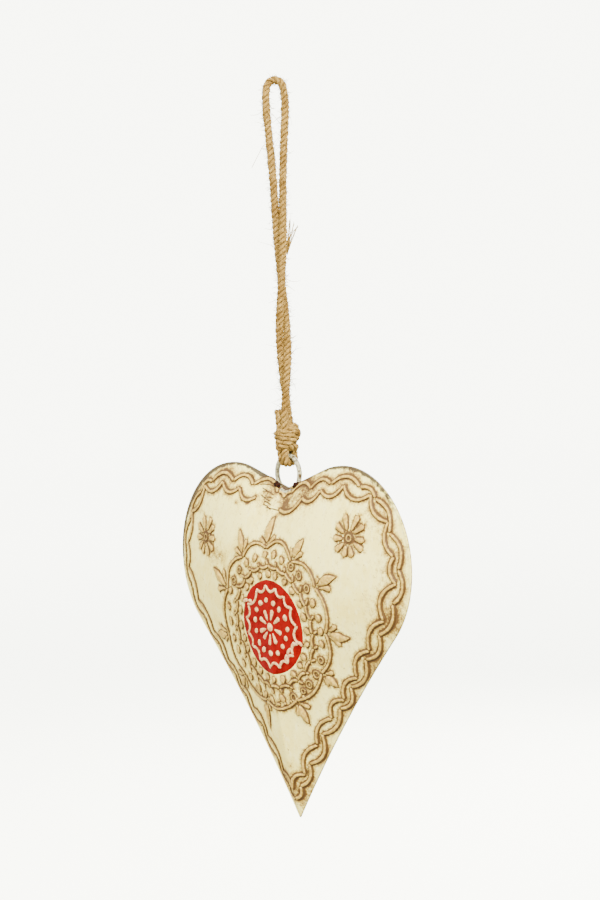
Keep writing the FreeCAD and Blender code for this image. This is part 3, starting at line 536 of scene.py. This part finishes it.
def closed_mesh(shape, name):
    """The mesh of a shape with its seams and poles joined and its faces turned outwards."""
    bmesh.ops.remove_doubles(shape, verts=shape.verts, dist=1e-6)
    bmesh.ops.recalc_face_normals(shape, faces=shape.faces)
    return mesh_from(shape, name)


ring_shape = bmesh.new()
bmesh.ops.create_circle(ring_shape, segments=16, radius=WIRE_RADIUS * MM)
bmesh.ops.translate(ring_shape, verts=ring_shape.verts, vec=(RING_RADIUS * MM, 0, 0))
bmesh.ops.spin(ring_shape, geom=ring_shape.verts[:] + ring_shape.edges[:], cent=(0, 0, 0),
               axis=(0, 1, 0), angle=2 * math.pi, steps=96, use_merge=True)
for corner in ring_shape.verts:
    lump = noise.noise(corner.co * 650)
    around = Vector((corner.co.x, 0, corner.co.z)).normalized() * RING_RADIUS * MM
    corner.co = around + (corner.co - around) * (1 + 0.09 * lump)
bmesh.ops.translate(ring_shape, verts=ring_shape.verts, vec=RING_MIDDLE)
wire_ring = finished_object("wire_ring", closed_mesh(ring_shape, "wire_ring"))
whitewash = Finish("whitewashed_wire", roughness=0.55)
chips = whitewash.grain(1.3, detail=5, rough=0.65).between(0.50, 0.60)
whitewash_tint = whitewash.tint(0.42, 0.41, 0.26).blend(
    whitewash.tint(0.22, 0.20, 0.12), whitewash.grain(0.7, detail=3).between(0.4, 0.7))
whitewash.feed("Base Color", whitewash_tint.blend(whitewash.tint(0.085, 0.052, 0.022), chips))
whitewash.feed("Roughness", 0.62 - chips * 0.24)
whitewash.feed("Metallic", chips * 0.5)
whitewash.relief(whitewash.grain(0.9, detail=4) - chips * 0.6, strength=0.8, distance=0.00025)
whitewash.on(wire_ring)
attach(wire_ring, "heart")
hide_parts("hanging_ring")

solder_shape = bmesh.new()
for side in (-1, 1):
    middle = RING_MIDDLE + Vector((side * 6.1, -1.0, -4.7)) * MM
    made = bmesh.ops.create_icosphere(solder_shape, subdivisions=4, radius=LUMP_RADIUS * MM,
                                      matrix=Matrix.Translation(middle))
    slope = Matrix.Rotation(math.radians(side * -32), 3, "Y")
    for corner in made["verts"]:
        local = corner.co - middle
        swell = 1 + 0.24 * noise.noise(local * 700 + Vector((side, 0, 0))) + 0.1 * noise.noise(local * 1700)
        flat = Vector((local.x * 1.05, local.y * 0.8, local.z * 0.72))
        corner.co = middle + slope @ flat * swell
solder_lumps = finished_object("solder_lumps", mesh_from(solder_shape, "solder_lumps"))
# Near black: the burnt solder, and painted shade of the gaps where the ring meets the cleft.
solder = Finish("solder_and_gap_shade", roughness=0.6, specular=0.06)
solder_spots = solder.grain(0.9, detail=5, rough=0.7)
solder.feed("Base Color", solder.tint(0.008, 0.002, 0.001).blend(
    solder.tint(0.05, 0.012, 0.003), solder_spots.between(0.48, 0.72)))
solder.feed("Roughness", 0.45 + solder_spots * 0.4)
solder.relief(solder_spots, strength=0.8, distance=0.0003)
solder.on(solder_lumps)
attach(solder_lumps, "heart")
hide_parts("ring_solder")


# Front and back of the heart
# Two halves pressed from thin tin sheet, seamed round the rim on a narrow flat flange and painted
# with chalky cream. A brown wash was wiped over it, and stays beside the raised lines, on the
# flank, in the cleft and at the tip. The paint is worn through to dark tin along the rim.
HEART_ORIGIN = -211.5
LOBE = Vector((36.3, 16.5))
LOBE_RADIUS = 39.7
CLEFT = Vector((0, 46.4))
CROWN = Vector((0, 4))
TIP = Vector((0, -90))
FLANK_RADIUS = 600
FLANGE_START = 0.98684
DOME_RISE = 12
DOME_FULLNESS = 2.2
DENTS = ((0.045, 0.55, 3), (0.13, 0.16, 9))
DENT_DEPTH = 0.7
SHEET = 0.5
RIM_STEPS = 1200
FLANGE_ROWS = ((0.990, SHEET), (0.9965, SHEET), (1.0, SHEET * 0.8), (1.0, SHEET * 0.25), (0.998, 0.02))


def polar(radius, degrees):
    return Vector((math.cos(math.radians(degrees)), math.sin(math.radians(degrees)))) * radius


def degrees_of(vector):
    return math.degrees(math.atan2(vector.y, vector.x))


def flank_centre():
    """Where the hollow flank is struck from: it touches the lobe and runs to the tip."""
    chord = TIP - LOBE
    outer = FLANK_RADIUS + LOBE_RADIUS
    reach = (outer ** 2 - FLANK_RADIUS ** 2 + chord.length ** 2) / (2 * chord.length)
    along = chord.normalized()
    return LOBE + along * reach + Vector((-along.y, along.x)) * math.sqrt(outer ** 2 - reach ** 2)


FLANK = flank_centre()
SHOULDER = degrees_of(FLANK - LOBE)
SUMMIT = (degrees_of(CLEFT - LOBE) - math.degrees(math.acos(LOBE_RADIUS / (LOBE - CLEFT).length))) % 360
TOP_LENGTH = (LOBE + polar(LOBE_RADIUS, SUMMIT) - CLEFT).length
LOBE_LENGTH = LOBE_RADIUS * math.radians(SUMMIT - SHOULDER)
FLANK_TURN = (degrees_of(TIP - FLANK) - SHOULDER - 180) % 360
RIM_LENGTH = TOP_LENGTH + LOBE_LENGTH + FLANK_RADIUS * math.radians(FLANK_TURN)


def rim_point(run):
    """A point at a distance along the rim from the cleft down the right side."""
    if run < TOP_LENGTH:
        return CLEFT + (LOBE + polar(LOBE_RADIUS, SUMMIT) - CLEFT).normalized() * run
    if run < TOP_LENGTH + LOBE_LENGTH:
        return LOBE + polar(LOBE_RADIUS, SUMMIT - math.degrees((run - TOP_LENGTH) / LOBE_RADIUS))
    turn = math.degrees((run - TOP_LENGTH - LOBE_LENGTH) / FLANK_RADIUS)
    return FLANK + polar(FLANK_RADIUS, SHOULDER + 180 + turn)


rim_reaches = []  # direction and distance of points of the rim from the crown, going clockwise
for step in range(RIM_STEPS + 1):
    arm = rim_point(RIM_LENGTH * step / RIM_STEPS) - CROWN
    rim_reaches.append((degrees_of(arm) if step < RIM_STEPS else -90.0, arm.length))


def rim_reach(degrees):
    """From the crown to the rim in a direction. The two halves mirror each other."""
    turn = (degrees + 90) % 360 - 90
    turn = 180 - turn if turn > 90 else turn
    low, high = 0, len(rim_reaches) - 1
    while high - low > 1:
        middle = (low + high) // 2
        if rim_reaches[middle][0] > turn:
            low = middle
        else:
            high = middle
    (upper, near), (lower, far) = rim_reaches[low], rim_reaches[high]
    share = (upper - turn) / (upper - lower) if upper > lower else 0
    return near + (far - near) * min(max(share, 0), 1)


def front_rise(x, z):
    """How far the front stands forward of the seam, with the shallow dents of hand pressing."""
    arm = Vector((x, z)) - CROWN
    share = arm.length / rim_reach(degrees_of(arm)) / FLANGE_START
    if share >= 1:
        return SHEET
    dents = sum(depth * noise.noise(Vector((x * pitch, z * pitch, seed))) for pitch, depth, seed in DENTS)
    return SHEET + DOME_RISE * (1 - share ** DOME_FULLNESS) + dents * (1 - share ** 4) * DENT_DEPTH


def pressed_half(name, around, rows, side):
    """A grid bent into a dome about the crown, with the flange and its turned edge outside."""
    shape = bmesh.new()
    bmesh.ops.create_grid(shape, x_segments=around, y_segments=rows, size=0.5)
    dome_share = 1 - len(FLANGE_ROWS) / rows
    for corner in shape.verts:
        turn = corner.co.x * 360
        level = (corner.co.y + 0.5) / dome_share
        if level <= 1.0001:
            place = CROWN + polar(FLANGE_START * level ** 0.8 * rim_reach(turn), turn)
            forward = front_rise(place.x, place.y)
        else:
            row = min(round((level - 1) * dome_share * rows), len(FLANGE_ROWS))
            share, forward = FLANGE_ROWS[row - 1]
            place = CROWN + polar(share * rim_reach(turn), turn)
        corner.co = Vector((place.x, side * forward, place.y + HEART_ORIGIN)) * MM
    return closed_mesh(shape, name)


front_mesh = pressed_half("front_half", 600, 120, -1)
back_mesh = pressed_half("back_half", 300, 60, 1)


# Raised pattern
# Every line, petal, leaf and dot is thick paint squeezed by hand from a nozzle onto the cream, so
# each is a rounded ridge with blunt ends and an uneven width. A brown wash lies along both feet.
PIPING_STEP = 0.45
PIPING_SIDES = 12
seats = []  # place and half width of every point of every line, for the wash that lies beside it


def ridge(points, half_width, seed, swell=None, closed=False):
    """One squeezed line through points in heart millimetres, rounded off at both ends."""
    line = even_line([Vector((x, 0, z)) for x, z in points], PIPING_STEP)
    total = PIPING_STEP * (len(line) - 1)
    stroke = []
    for number, point in enumerate(line):
        run = PIPING_STEP * number
        wide = half_width * (1 + 0.13 * noise.noise(Vector((run * 0.33, seed * 7.7, 0))))
        wide *= swell(run / total) if swell else 1
        if not closed:
            near_end = min(run, total - run) / half_width
            if near_end < 1:
                wide *= math.sqrt(max(1 - (1 - near_end) ** 2, 0.0005))
        stroke.append((point, wide))
        seats.append((point.x, point.z, wide))
    return stroke


def blob(x, z, radius, seed):
    """A dot: a drop of paint pressed on and lifted off."""
    rng = random.Random(seed)
    lean = polar(radius * rng.uniform(0.05, 0.3), rng.uniform(0, 360))
    place = Vector((x, z))
    stroke = []
    for step in range(9):
        reach = math.sin((step / 8 - 0.5) * math.pi)
        centre = place + lean * reach + lean.normalized() * radius * reach
        stroke.append((Vector((centre.x, 0, centre.y)), radius * math.sqrt(max(1 - reach ** 2, 0.0005))))
    seats.append((x, z, radius))
    return stroke


def arc_between(start, end, sag, steps=14):
    """A bowed line between two points. sag is how far its middle stands to the left of the chord."""
    start, end = Vector(start), Vector(end)
    chord = end - start
    side = Vector((-chord.y, chord.x)).normalized()
    return [start + chord * step / steps + side * sag * 4 * (step / steps) * (1 - step / steps)
            for step in range(steps + 1)]


def piped(name, strokes, finish, foot=0.0, thick=0.78, flare=0.26):
    """Seats flat strokes on the dome, each pressed to a share of its width and flared at its foot."""
    mesh = drawn(name, strokes, PIPING_SIDES, capped=False)
    rings = [ring for stroke in strokes for ring in stroke]
    edges = []
    for number, vertex in enumerate(mesh.vertices):
        x, height, z = vertex.co
        middle, wide = rings[number // PIPING_SIDES]
        edges.append(wide - math.sqrt(max(wide ** 2 - height ** 2, 0)) if height < 0 else 0)
        if abs(height) < wide * 0.2 and wide > 0.25:
            x += (x - middle.x) / wide * flare
            z += (z - middle.z) / wide * flare
            height = -0.05
        forward = front_rise(x, z) + foot - height * thick
        vertex.co = Vector((x, -forward, z + HEART_ORIGIN)) * MM
    piece = finished_object(name, mesh)
    give(mesh, "edge", edges)
    finish.on(piece)
    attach(piece, "heart")
    return piece


# Medallion
# A red enamel disc with a daisy, a ring of dots and a pointed ring piped on it, then rings of
# pearls and lace on the bare cream round it, all by eye, so no two arcs or dots are quite alike.
MEDALLION = Vector((0, -10))
DISC_RADIUS = 19.4
DOTS = 15
DOT_RING = (10.2, 11.3)
POINT_RING = 17.3
INNER_PEARLS = 24
PEARL_RING = (21.4, 22.2)
COLLAR_ARCS = 27
COLLAR_RING = 25.4
OUTER_PEARLS = 30
CROWDED_PEARLS = 10
OUTER_RING = 29.6
PALE_FOOT = 0.2
PALE_FLARE = 0.08
LACE_HALF = 0.72
# Turns are in degrees from the medallion's right. A cusp is its turn and reach, a sprig the
# length and lean of its middle leaf and of the bud on each side.
PETAL_TURNS = (115, 72.5, 32, -18, -62, -96, -135, -164, 152)
SPIKE_TURNS = (93.8, 73, 51.4, 31, 4.7, -20, -40, -56, -75, -95, -123, -148, -168, -189, -210, -242.6)
STRAY_POINTS = (
    ((8.75, -23.8), (9.9, -20.7)), ((9.9, -20.7), (12.8, -18.1)), ((12.8, -18.1), (15, -15.4)),
    ((15, -15.4), (18.75, -16.9)), ((-17.6, -0.6), (-13.9, -0.2)), ((-13.9, -0.2), (-11.3, -0.8)))
LACE_CUSPS = (
    (94.7, 32.4), (61.3, 31.3), (31.4, 34.0), (-1.3, 32.2), (-33.6, 31.5), (-69.4, 31.6),
    (-105.7, 32.1), (-139.8, 34.2), (-170.9, 35.5), (-205.5, 33.0), (-238, 33.0))
BULGE_REACH = (35.9, 35.4, 35.3, 33.8, 32.9, 33.8, 34.4, 37.0, 35.6, 36.1, 35.6)
SPRIGS = (
    ((12.2, -14), (5.2, 53), (6.4, -55)), ((10.7, -9), (4.7, 34), (7.0, -30)),
    ((11.7, -11), (4.2, 42), (8.0, -32)), ((10.7, -6), (6.4, 32), (7.6, -34)),
    ((7.7, -7), (5.4, 43), (5.1, -30)), ((9.5, 2), (5.7, 52), (5.7, -24)),
    ((11.8, 8), (4.6, 55), (6.4, -24)), ((7.9, 5), (5.6, 48), (6.6, -46)),
    ((12.0, -6), (5.4, 26), (7.6, -30)), ((13.2, -9), (8.0, 30), (7.6, -44)),
    ((11.0, -16), (5.9, 30), (6.8, -50)),
)


def medal(radius, degrees):
    return MEDALLION + polar(radius, degrees)


def stray(reach):
    return rng.uniform(-reach, reach)


piping = Finish("tan_piping", roughness=0.6, specular=0.35)
piping_edge = piping.mark("edge")
piping_grain = piping.grain(1.1, detail=4)
piping_tan = piping.tint(0.40, 0.255, 0.036).blend(
    piping.tint(0.66, 0.47, 0.105), piping_grain.between(0.4, 0.68))
piping_patch = piping.grain(9, detail=3).between(0.5, 0.72)
piping_tan = piping_tan.blend(piping.tint(0.20, 0.100, 0.006), piping_patch * 0.4)
piping_foot = 1 - (piping_edge + (piping_grain - 0.5) * 0.3).between(0.16, 0.50)
piping.feed("Base Color", piping_tan.blend(piping.tint(0.050, 0.018, 0.0005), piping_foot * 0.95))
piping.feed("Roughness", 0.5 + piping_grain * 0.25)
piping.relief(piping.grain(0.6, detail=3), strength=0.35, distance=0.0001)

pale_piping = Finish("pale_piping", roughness=0.5, specular=0.4)
pale_edge = pale_piping.mark("edge")
pale_grain = pale_piping.grain(0.9, detail=4)
pale_tint = pale_piping.tint(0.50, 0.24, 0.08).blend(
    pale_piping.tint(0.74, 0.50, 0.24), pale_grain.between(0.38, 0.62))
pale_foot = 1 - (pale_edge + (pale_grain - 0.5) * 0.12).between(0.0, 0.16)
pale_piping.feed("Base Color", pale_tint.blend(pale_piping.tint(0.14, 0.008, 0.002), pale_foot * 0.85))
pale_piping.feed("Roughness", 0.45 + pale_grain * 0.2)

enamel_shape = bmesh.new()
bmesh.ops.create_grid(enamel_shape, x_segments=180, y_segments=48, size=0.5)
for corner in enamel_shape.verts:
    turn = corner.co.x * 360
    level = corner.co.y + 0.5
    wander = 1 + 0.011 * noise.noise(Vector((*polar(2.2, turn), 1)))
    wander += 0.005 * noise.noise(Vector((*polar(9, turn), 4)))
    place = medal(DISC_RADIUS * wander * level ** 0.9, turn)
    skin = 0.22 * (1 - level ** 24) + 0.03 * noise.noise(Vector((place.x, place.y, 2)))
    corner.co = Vector((place.x, -front_rise(place.x, place.y) - skin, place.y + HEART_ORIGIN)) * MM
red_disc = finished_object("red_disc", closed_mesh(enamel_shape, "red_disc"))
red_enamel = Finish("red_enamel", roughness=0.38, specular=0.06)
enamel_cloud = red_enamel.grain(3.5, detail=4)
enamel_tint = red_enamel.tint(0.205, 0.0, 0.0).blend(
    red_enamel.tint(0.125, 0.0, 0.0), enamel_cloud.between(0.45, 0.7))
red_enamel.feed("Base Color", enamel_tint.blend(
    red_enamel.tint(0.06, 0.001, 0.001), red_enamel.grain(0.7, detail=3).between(0.66, 0.76) * 0.8))
red_enamel.feed("Roughness", 0.28 + enamel_cloud * 0.3)
red_enamel.relief(red_enamel.grain(1.8, detail=3), strength=0.5, distance=0.00012)
red_enamel.on(red_disc)
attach(red_disc, "heart")
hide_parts("medallion_enamel")

rng = random.Random(5)
daisy_strokes = [blob(*medal(0, 0), 1.65, 1)]
for number, turn in enumerate(PETAL_TURNS):
    reach = rng.uniform(7.3, 8.1)
    daisy_strokes.append(ridge([medal(2.7, turn + 2), medal(reach, turn)], 1.17, number,
                               swell=lambda share: 0.3 + 0.75 * share))
medallion_daisy = piped("medallion_daisy", daisy_strokes, pale_piping, PALE_FOOT, 0.5, PALE_FLARE)
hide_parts("medallion_petals")

dot_strokes = []
for number in range(DOTS):
    turn = 96.6 - number * 360 / DOTS + stray(2.5)
    dot_strokes.append(blob(*medal(rng.uniform(*DOT_RING), turn), rng.uniform(1.02, 1.3), 60 + number))
medallion_beads = piped("medallion_beads", dot_strokes, pale_piping, PALE_FOOT, 0.5, PALE_FLARE)
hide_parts("medallion_dots")

point_strokes = []
for number, (turn, following) in enumerate(zip(SPIKE_TURNS, SPIKE_TURNS[1:] + (SPIKE_TURNS[0] - 360,))):
    start = medal(POINT_RING, turn)
    end = medal(17.1 + rng.uniform(-0.3, 0.5), following)
    sag = 1.6 + (start - end).length * 0.08
    point_strokes.append(ridge(arc_between(start, end, -sag), 0.6, 80 + number))
for number, (start, end) in enumerate(STRAY_POINTS):
    point_strokes.append(ridge(arc_between(start, end, 0.7), LACE_HALF, 340 + number))
medallion_spikes = piped("medallion_spikes", point_strokes, pale_piping, PALE_FOOT, 0.8, PALE_FLARE)
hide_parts("medallion_points")

pearl_strokes = []
for number in range(INNER_PEARLS):
    turn = 90 - number * 360 / INNER_PEARLS + stray(2)
    pearl_strokes.append(blob(*medal(rng.uniform(*PEARL_RING), turn), rng.uniform(1.2, 1.55), 100 + number))
pearl_ring = piped("inner_pearl_ring", pearl_strokes, piping, thick=0.5)
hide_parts("inner_pearls")

collar_strokes = []
for number in range(COLLAR_ARCS):
    turn = 90 - number * 360 / COLLAR_ARCS
    start = medal(COLLAR_RING + stray(0.4), turn + stray(1))
    end = medal(COLLAR_RING - 0.2 + stray(0.4), turn - 360 / COLLAR_ARCS)
    collar_strokes.append(ridge(arc_between(start, end, rng.uniform(-1.1, -0.5)), LACE_HALF, 130 + number))
    hook = medal(27.4 + rng.uniform(-0.3, 0.7), turn + rng.uniform(2, 5))
    collar_strokes.append(ridge([start, hook], 0.66, 160 + number))
inner_collar = piped("inner_collar", collar_strokes, piping)
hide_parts("inner_lace")


def hoop(x, z, radius, half_width, seed):
    """A drop of paint that sank in the middle and left a ring."""
    rng = random.Random(seed)
    squash = rng.uniform(0.8, 1.15)
    line = []
    for step in range(17):
        turn = step * math.pi / 8
        line.append((x + math.cos(turn) * radius * squash, z + math.sin(turn) * radius))
    return ridge(line, half_width, seed, closed=True)


outer_pearls = []
for number in range(OUTER_PEARLS):
    turn = 84 - number * 360 / OUTER_PEARLS + stray(2)
    out = OUTER_RING + 1.4 * max(0, math.cos(math.radians(turn + 165))) + stray(0.4)
    sunk = 25 < turn % 360 < 68 or 285 < turn % 360 < 345 or 125 < turn % 360 < 150
    if sunk:
        outer_pearls.append(hoop(*medal(out, turn), rng.uniform(1.0, 1.5), 0.52, 200 + number))
    else:
        outer_pearls.append(blob(*medal(out, turn), rng.uniform(1.25, 1.6), 200 + number))
for number in range(CROWDED_PEARLS):
    place = medal(OUTER_RING + 2 + stray(0.4), -62 - number * 6.6)
    outer_pearls.append(blob(*place, rng.uniform(0.7, 1.0), 232 + number))
outer_ring = piped("outer_pearl_ring", outer_pearls, piping, thick=0.5)
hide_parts("outer_pearls")

lace_strokes = []
first_turn, first_reach = LACE_CUSPS[0]
next_cusps = LACE_CUSPS[1:] + ((first_turn - 360, first_reach),)
for number, ((turn, reach), (following, far)) in enumerate(zip(LACE_CUSPS, next_cusps)):
    crest = medal(BULGE_REACH[number], (turn + following) / 2)
    start, end = medal(reach, turn), medal(far, following)
    sag = (crest - (start + end) / 2).length
    lace_strokes.append(ridge(arc_between(start, end, sag, 24), LACE_HALF, 240 + number))
lace_ring = piped("outer_lace_ring", lace_strokes, piping)
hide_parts("outer_lace")


def leaf(share):
    return 0.3 + 1.05 * math.sin(math.pi * min(share + 0.02, 1)) ** 1.1 * (1 - 0.35 * share)


def bud(share):
    return 0.35 + 0.75 * share


leaf_strokes = []
for number, ((turn, reach), (middle, left, right)) in enumerate(zip(LACE_CUSPS, SPRIGS)):
    foot = medal(reach + 1.0, turn)
    for side, (length, lean), shape, fat in (
            (0, middle, leaf, 1.5), (1, left, bud, 1.15), (-1, right, bud, 1.15)):
        root = foot + polar(1.1 * abs(side), turn + side * 90) + polar(1.0 if side == 0 else 0.2, turn)
        tip = root + polar(length - 0.8, turn + lean)
        bow = stray(0.9) if side == 0 else side * -0.5
        line = arc_between(root, tip, bow)
        leaf_strokes.append(ridge(line, fat * 1.12, 270 + 3 * number + side, swell=shape))
lace_leaves = piped("lace_leaves", leaf_strokes, piping, thick=0.48)
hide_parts("lace_sprigs")


# Flowers
# A loose ten-petalled daisy high on each lobe, its ringed eye piped last with a dark centre.
PETALS = 10
for name, middle, seed in (("right", Vector((46.8, 28.2)), 31), ("left", Vector((-49.2, 24.6)), 47)):
    rng = random.Random(seed)
    strokes = []
    for number in range(PETALS):
        turn = number * 360 / PETALS + stray(6)
        root = middle + polar(3.0, turn)
        long = rng.uniform(7.9, 9.2) + 1.3 * max(0, math.sin(math.radians(turn)))
        tip = middle + polar(long, turn + stray(5))
        strokes.append(ridge([root, tip], 1.5, seed + number, swell=lambda share: 0.5 + 0.6 * share))
    for radius, wide in ((1.25, 0.55), (2.2, 0.24)):
        eye = [middle + polar(radius, turn * 20) for turn in range(19)]
        strokes.append(ridge(eye, wide, seed, closed=True))
    flower = piped(f"{name}_daisy", strokes, piping, thick=0.5)
    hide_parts(f"{name}_flower")


# Border
# Two wavy strands that cross and touch round the whole rim, squeezed one short arc at a time.
OUTER_CUSPS = (
    (4.5, 44.6), (19.4, 46.9), (32.5, 49.1), (49.4, 48.1), (58.1, 43.8), (66.3, 30.6), (70.6, 16.3),
    (67.0, 2.5), (58.1, -10), (49, -20.5), (38.8, -32.5), (31.3, -41.9), (20, -53.1), (10.6, -66.3),
    (3.8, -76.3))
INNER_CUSPS = (
    (15.3, 43.1), (26.9, 46.6), (40.3, 48.8), (55.6, 45.6), (65.6, 35), (68.8, 21.3), (69.4, 10.6),
    (61.9, -4.4), (51.9, -16.9), (43, -28.5), (34.4, -38.1), (26.3, -46.3), (16.6, -58.1), (7.5, -71.3))
BORDER_HALF = 0.8
HATCH_LINES = 8
rng = random.Random(77)


def strand(cusps, top, bottom, bow, seed):
    """Arcs from cusp to cusp down both sides. They bow outwards where bow is positive."""
    strokes = []
    for side in (1, -1):
        points = [top]
        for x, z in cusps:
            points.append(Vector((side * x, z + (stray(0.7) if side < 0 else 0))))
        points.append(bottom)
        if side < 0 and bow < 0:
            points = points[1:]  # brushed hatching takes the place of the first arc
        for start, end in zip(points, points[1:]):
            reach = (end - start).length
            depth = bow * min(reach / 13, 1.15) * rng.uniform(0.85, 1.15)
            strokes.append(ridge(arc_between(start, end, side * depth), BORDER_HALF, seed + len(strokes)))
    return strokes


outer_strokes = strand(OUTER_CUSPS, CLEFT - Vector((0, 4)), TIP + Vector((0, 8)), 2.9, 300)
outer_strand = piped("border_outer_line", outer_strokes, piping)
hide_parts("border_outer_strand")
hatch = []
raised_seats = len(seats)
for number in range(HATCH_LINES):
    start = Vector((-15.5 + number * 0.9 + stray(0.8), 47.4 - number * 1.3))
    end = start + Vector((rng.uniform(5, 8.5), rng.uniform(-2.8, -0.4)))
    hatch.append(ridge(arc_between(start, end, stray(0.7)), 0.22, 440 + number))
del seats[raised_seats:]  # the wash doesn't gather beside brushed lines
inner_strokes = strand(INNER_CUSPS, CLEFT - Vector((0, 8.5)), TIP + Vector((0, 12)), -3.2, 400)
inner_strand = piped("border_inner_line", inner_strokes + hatch, piping)
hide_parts("border_inner_strand")

foot_arc = [Vector((0, RING_HEIGHT - HEART_ORIGIN)) + polar(RING_RADIUS, turn)
            for turn in range(-122, -57, 4)]
ring_foot = piped("ring_foot", [ridge(foot_arc, 0.62, 460)], whitewash, foot=0.1, thick=0.9, flare=0)


# Cream paint and its wear
# The wash is darkest against the raised lines and in the stains; both are marked on the tin here.
# A stain is its place, its reach and its depth; a worn stretch of rim its turn, spread and depth.
STAINS = (
    (66, -3, 9, 1.1), (54, -23, 8, 1.1), (40, -40, 8, 0.8), (20, -60, 7, 0.5), (5, -80, 9, 0.9),
    (68, 18, 8, 0.6), (60, 38, 8, 0.6), (40, 50, 7, 0.7), (20, 48, 7, 0.8), (12, 46, 8, 0.9),
    (2.5, 40, 4, 1.7), (-9, 43, 5.5, 1.15), (-40, 50, 9, 0.75), (-60, 40, 8, 0.6), (-6, -74, 6, 0.5),
    (46.8, 28.2, 1.7, 3.2), (-49.2, 24.6, 1.7, 2.6), (-35, 18, 5, 0.6), (-42, 18, 5, 0.7),
    (-54.7, -1.1, 1.2, 0.8), (1.6, -67.8, 1.0, 0.8), (6, -32.6, 1.0, 0.7),
    (-27.2, 40, 1.3, 1.1), (-24.4, 42.2, 1.2, 1.0), (-19.7, 40.3, 1.2, 1.1))
WORN_STRETCHES = ((147, 24, 1), (104, 15, 1), (50, 24, 0.6))
WORN_START = 0.945
WORN_SPAN = 0.042
WASH_REACH = 1.2
HALO_RADIUS = 27
HALO_SPREAD = 6
tree = kdtree.KDTree(len(seats))
for number, (x, z, half_width) in enumerate(seats):
    tree.insert(Vector((x, 0, z)), number)
tree.balance()


def bell(distance, spread):
    return math.exp(-(distance / spread) ** 2)


def mark_paint(mesh, washed):
    """Marks how much wash and stain each point of a half holds, and how far its paint is worn."""
    wash, stain, bare = [], [], []
    for vertex in mesh.vertices:
        x, z = vertex.co.x / MM, vertex.co.z / MM - HEART_ORIGIN
        arm = Vector((x, z)) - CROWN
        turn = degrees_of(arm)
        share = arm.length / rim_reach(turn)
        if washed:
            nearest, number, distance = tree.find(Vector((x, 0, z)))
            wash.append(bell(max(distance - seats[number][2], 0), WASH_REACH))
            halo = bell((Vector((x, z)) - MEDALLION).length - HALO_RADIUS, HALO_SPREAD)
            stain.append(sum(depth * bell(math.hypot(x - across, z - height), reach)
                             for across, height, reach, depth in STAINS) + 0.34 * halo)
        else:
            stain.append(0.8 * share ** 12)
        edge = min(max(0, share - WORN_START) / WORN_SPAN, 1)
        top = sum(depth * bell(turn - middle, spread) for middle, spread, depth in WORN_STRETCHES)
        bare.append(edge * (0.40 + 0.75 * top))
    if washed:
        give(mesh, "wash", wash)
    give(mesh, "stain", stain)
    give(mesh, "bare", bare)


mark_paint(front_mesh, True)
mark_paint(back_mesh, False)
for name, mesh, node in (
        ("front_half", front_mesh, "front_shell"), ("back_half", back_mesh, "back_shell")):
    paint = Finish(f"cream_paint_{name}", roughness=0.6, specular=0.35)
    cloud = paint.grain(16, detail=4)
    brush = paint.grain(1.6, detail=4, stretch=(1, 1, 0.35))
    tint = paint.tint(0.90, 0.83, 0.27).blend(paint.tint(0.82, 0.71, 0.18), cloud.between(0.42, 0.68))
    tint = tint.blend(paint.tint(0.93, 0.89, 0.40), brush.between(0.5, 0.72) * 0.6)
    wash = paint.mark("wash")
    stain = paint.mark("stain")
    blotch = paint.grain(2.4, detail=5, rough=0.65)
    mottle = blotch.between(0.34, 0.66)
    fine = paint.grain(0.55, detail=4, rough=0.6).between(0.36, 0.64)
    brown = paint.tint(0.54, 0.375, 0.060).blend(paint.tint(0.28, 0.145, 0.008), fine)
    dusty = (wash * 0.92 + stain * 0.8 + mottle * 0.55 + fine * 0.25 - 0.36).between(0.1, 1.0)
    tint = tint.blend(brown, dusty * 0.92)
    at_the_foot = wash * wash * wash
    dark = (at_the_foot * 0.95 + stain * 0.62 + mottle * 0.42 + fine * 0.3 - 0.38).between(0.35, 0.95)
    tint = tint.blend(paint.tint(0.070, 0.026, 0.001), dark * 0.95)
    specks = paint.grain(1.0, detail=2).between(0.68, 0.73)
    tint = tint.blend(paint.tint(0.20, 0.085, 0.02), specks * 0.7)
    worn = (paint.mark("bare") + (paint.grain(2.6, detail=5, rough=0.7) - 0.5) * 1.3).between(0.5, 0.75)
    tint = tint.blend(paint.tint(0.030, 0.012, 0.003), worn * 0.95)
    paint.feed("Base Color", tint)
    paint.feed("Roughness", 0.5 + blotch * 0.25)
    paint.relief(brush + blotch * 0.5, strength=0.4, distance=0.00012)
    shell = finished_object(name, mesh)
    paint.on(shell)
    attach(shell, "heart")
    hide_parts(node)
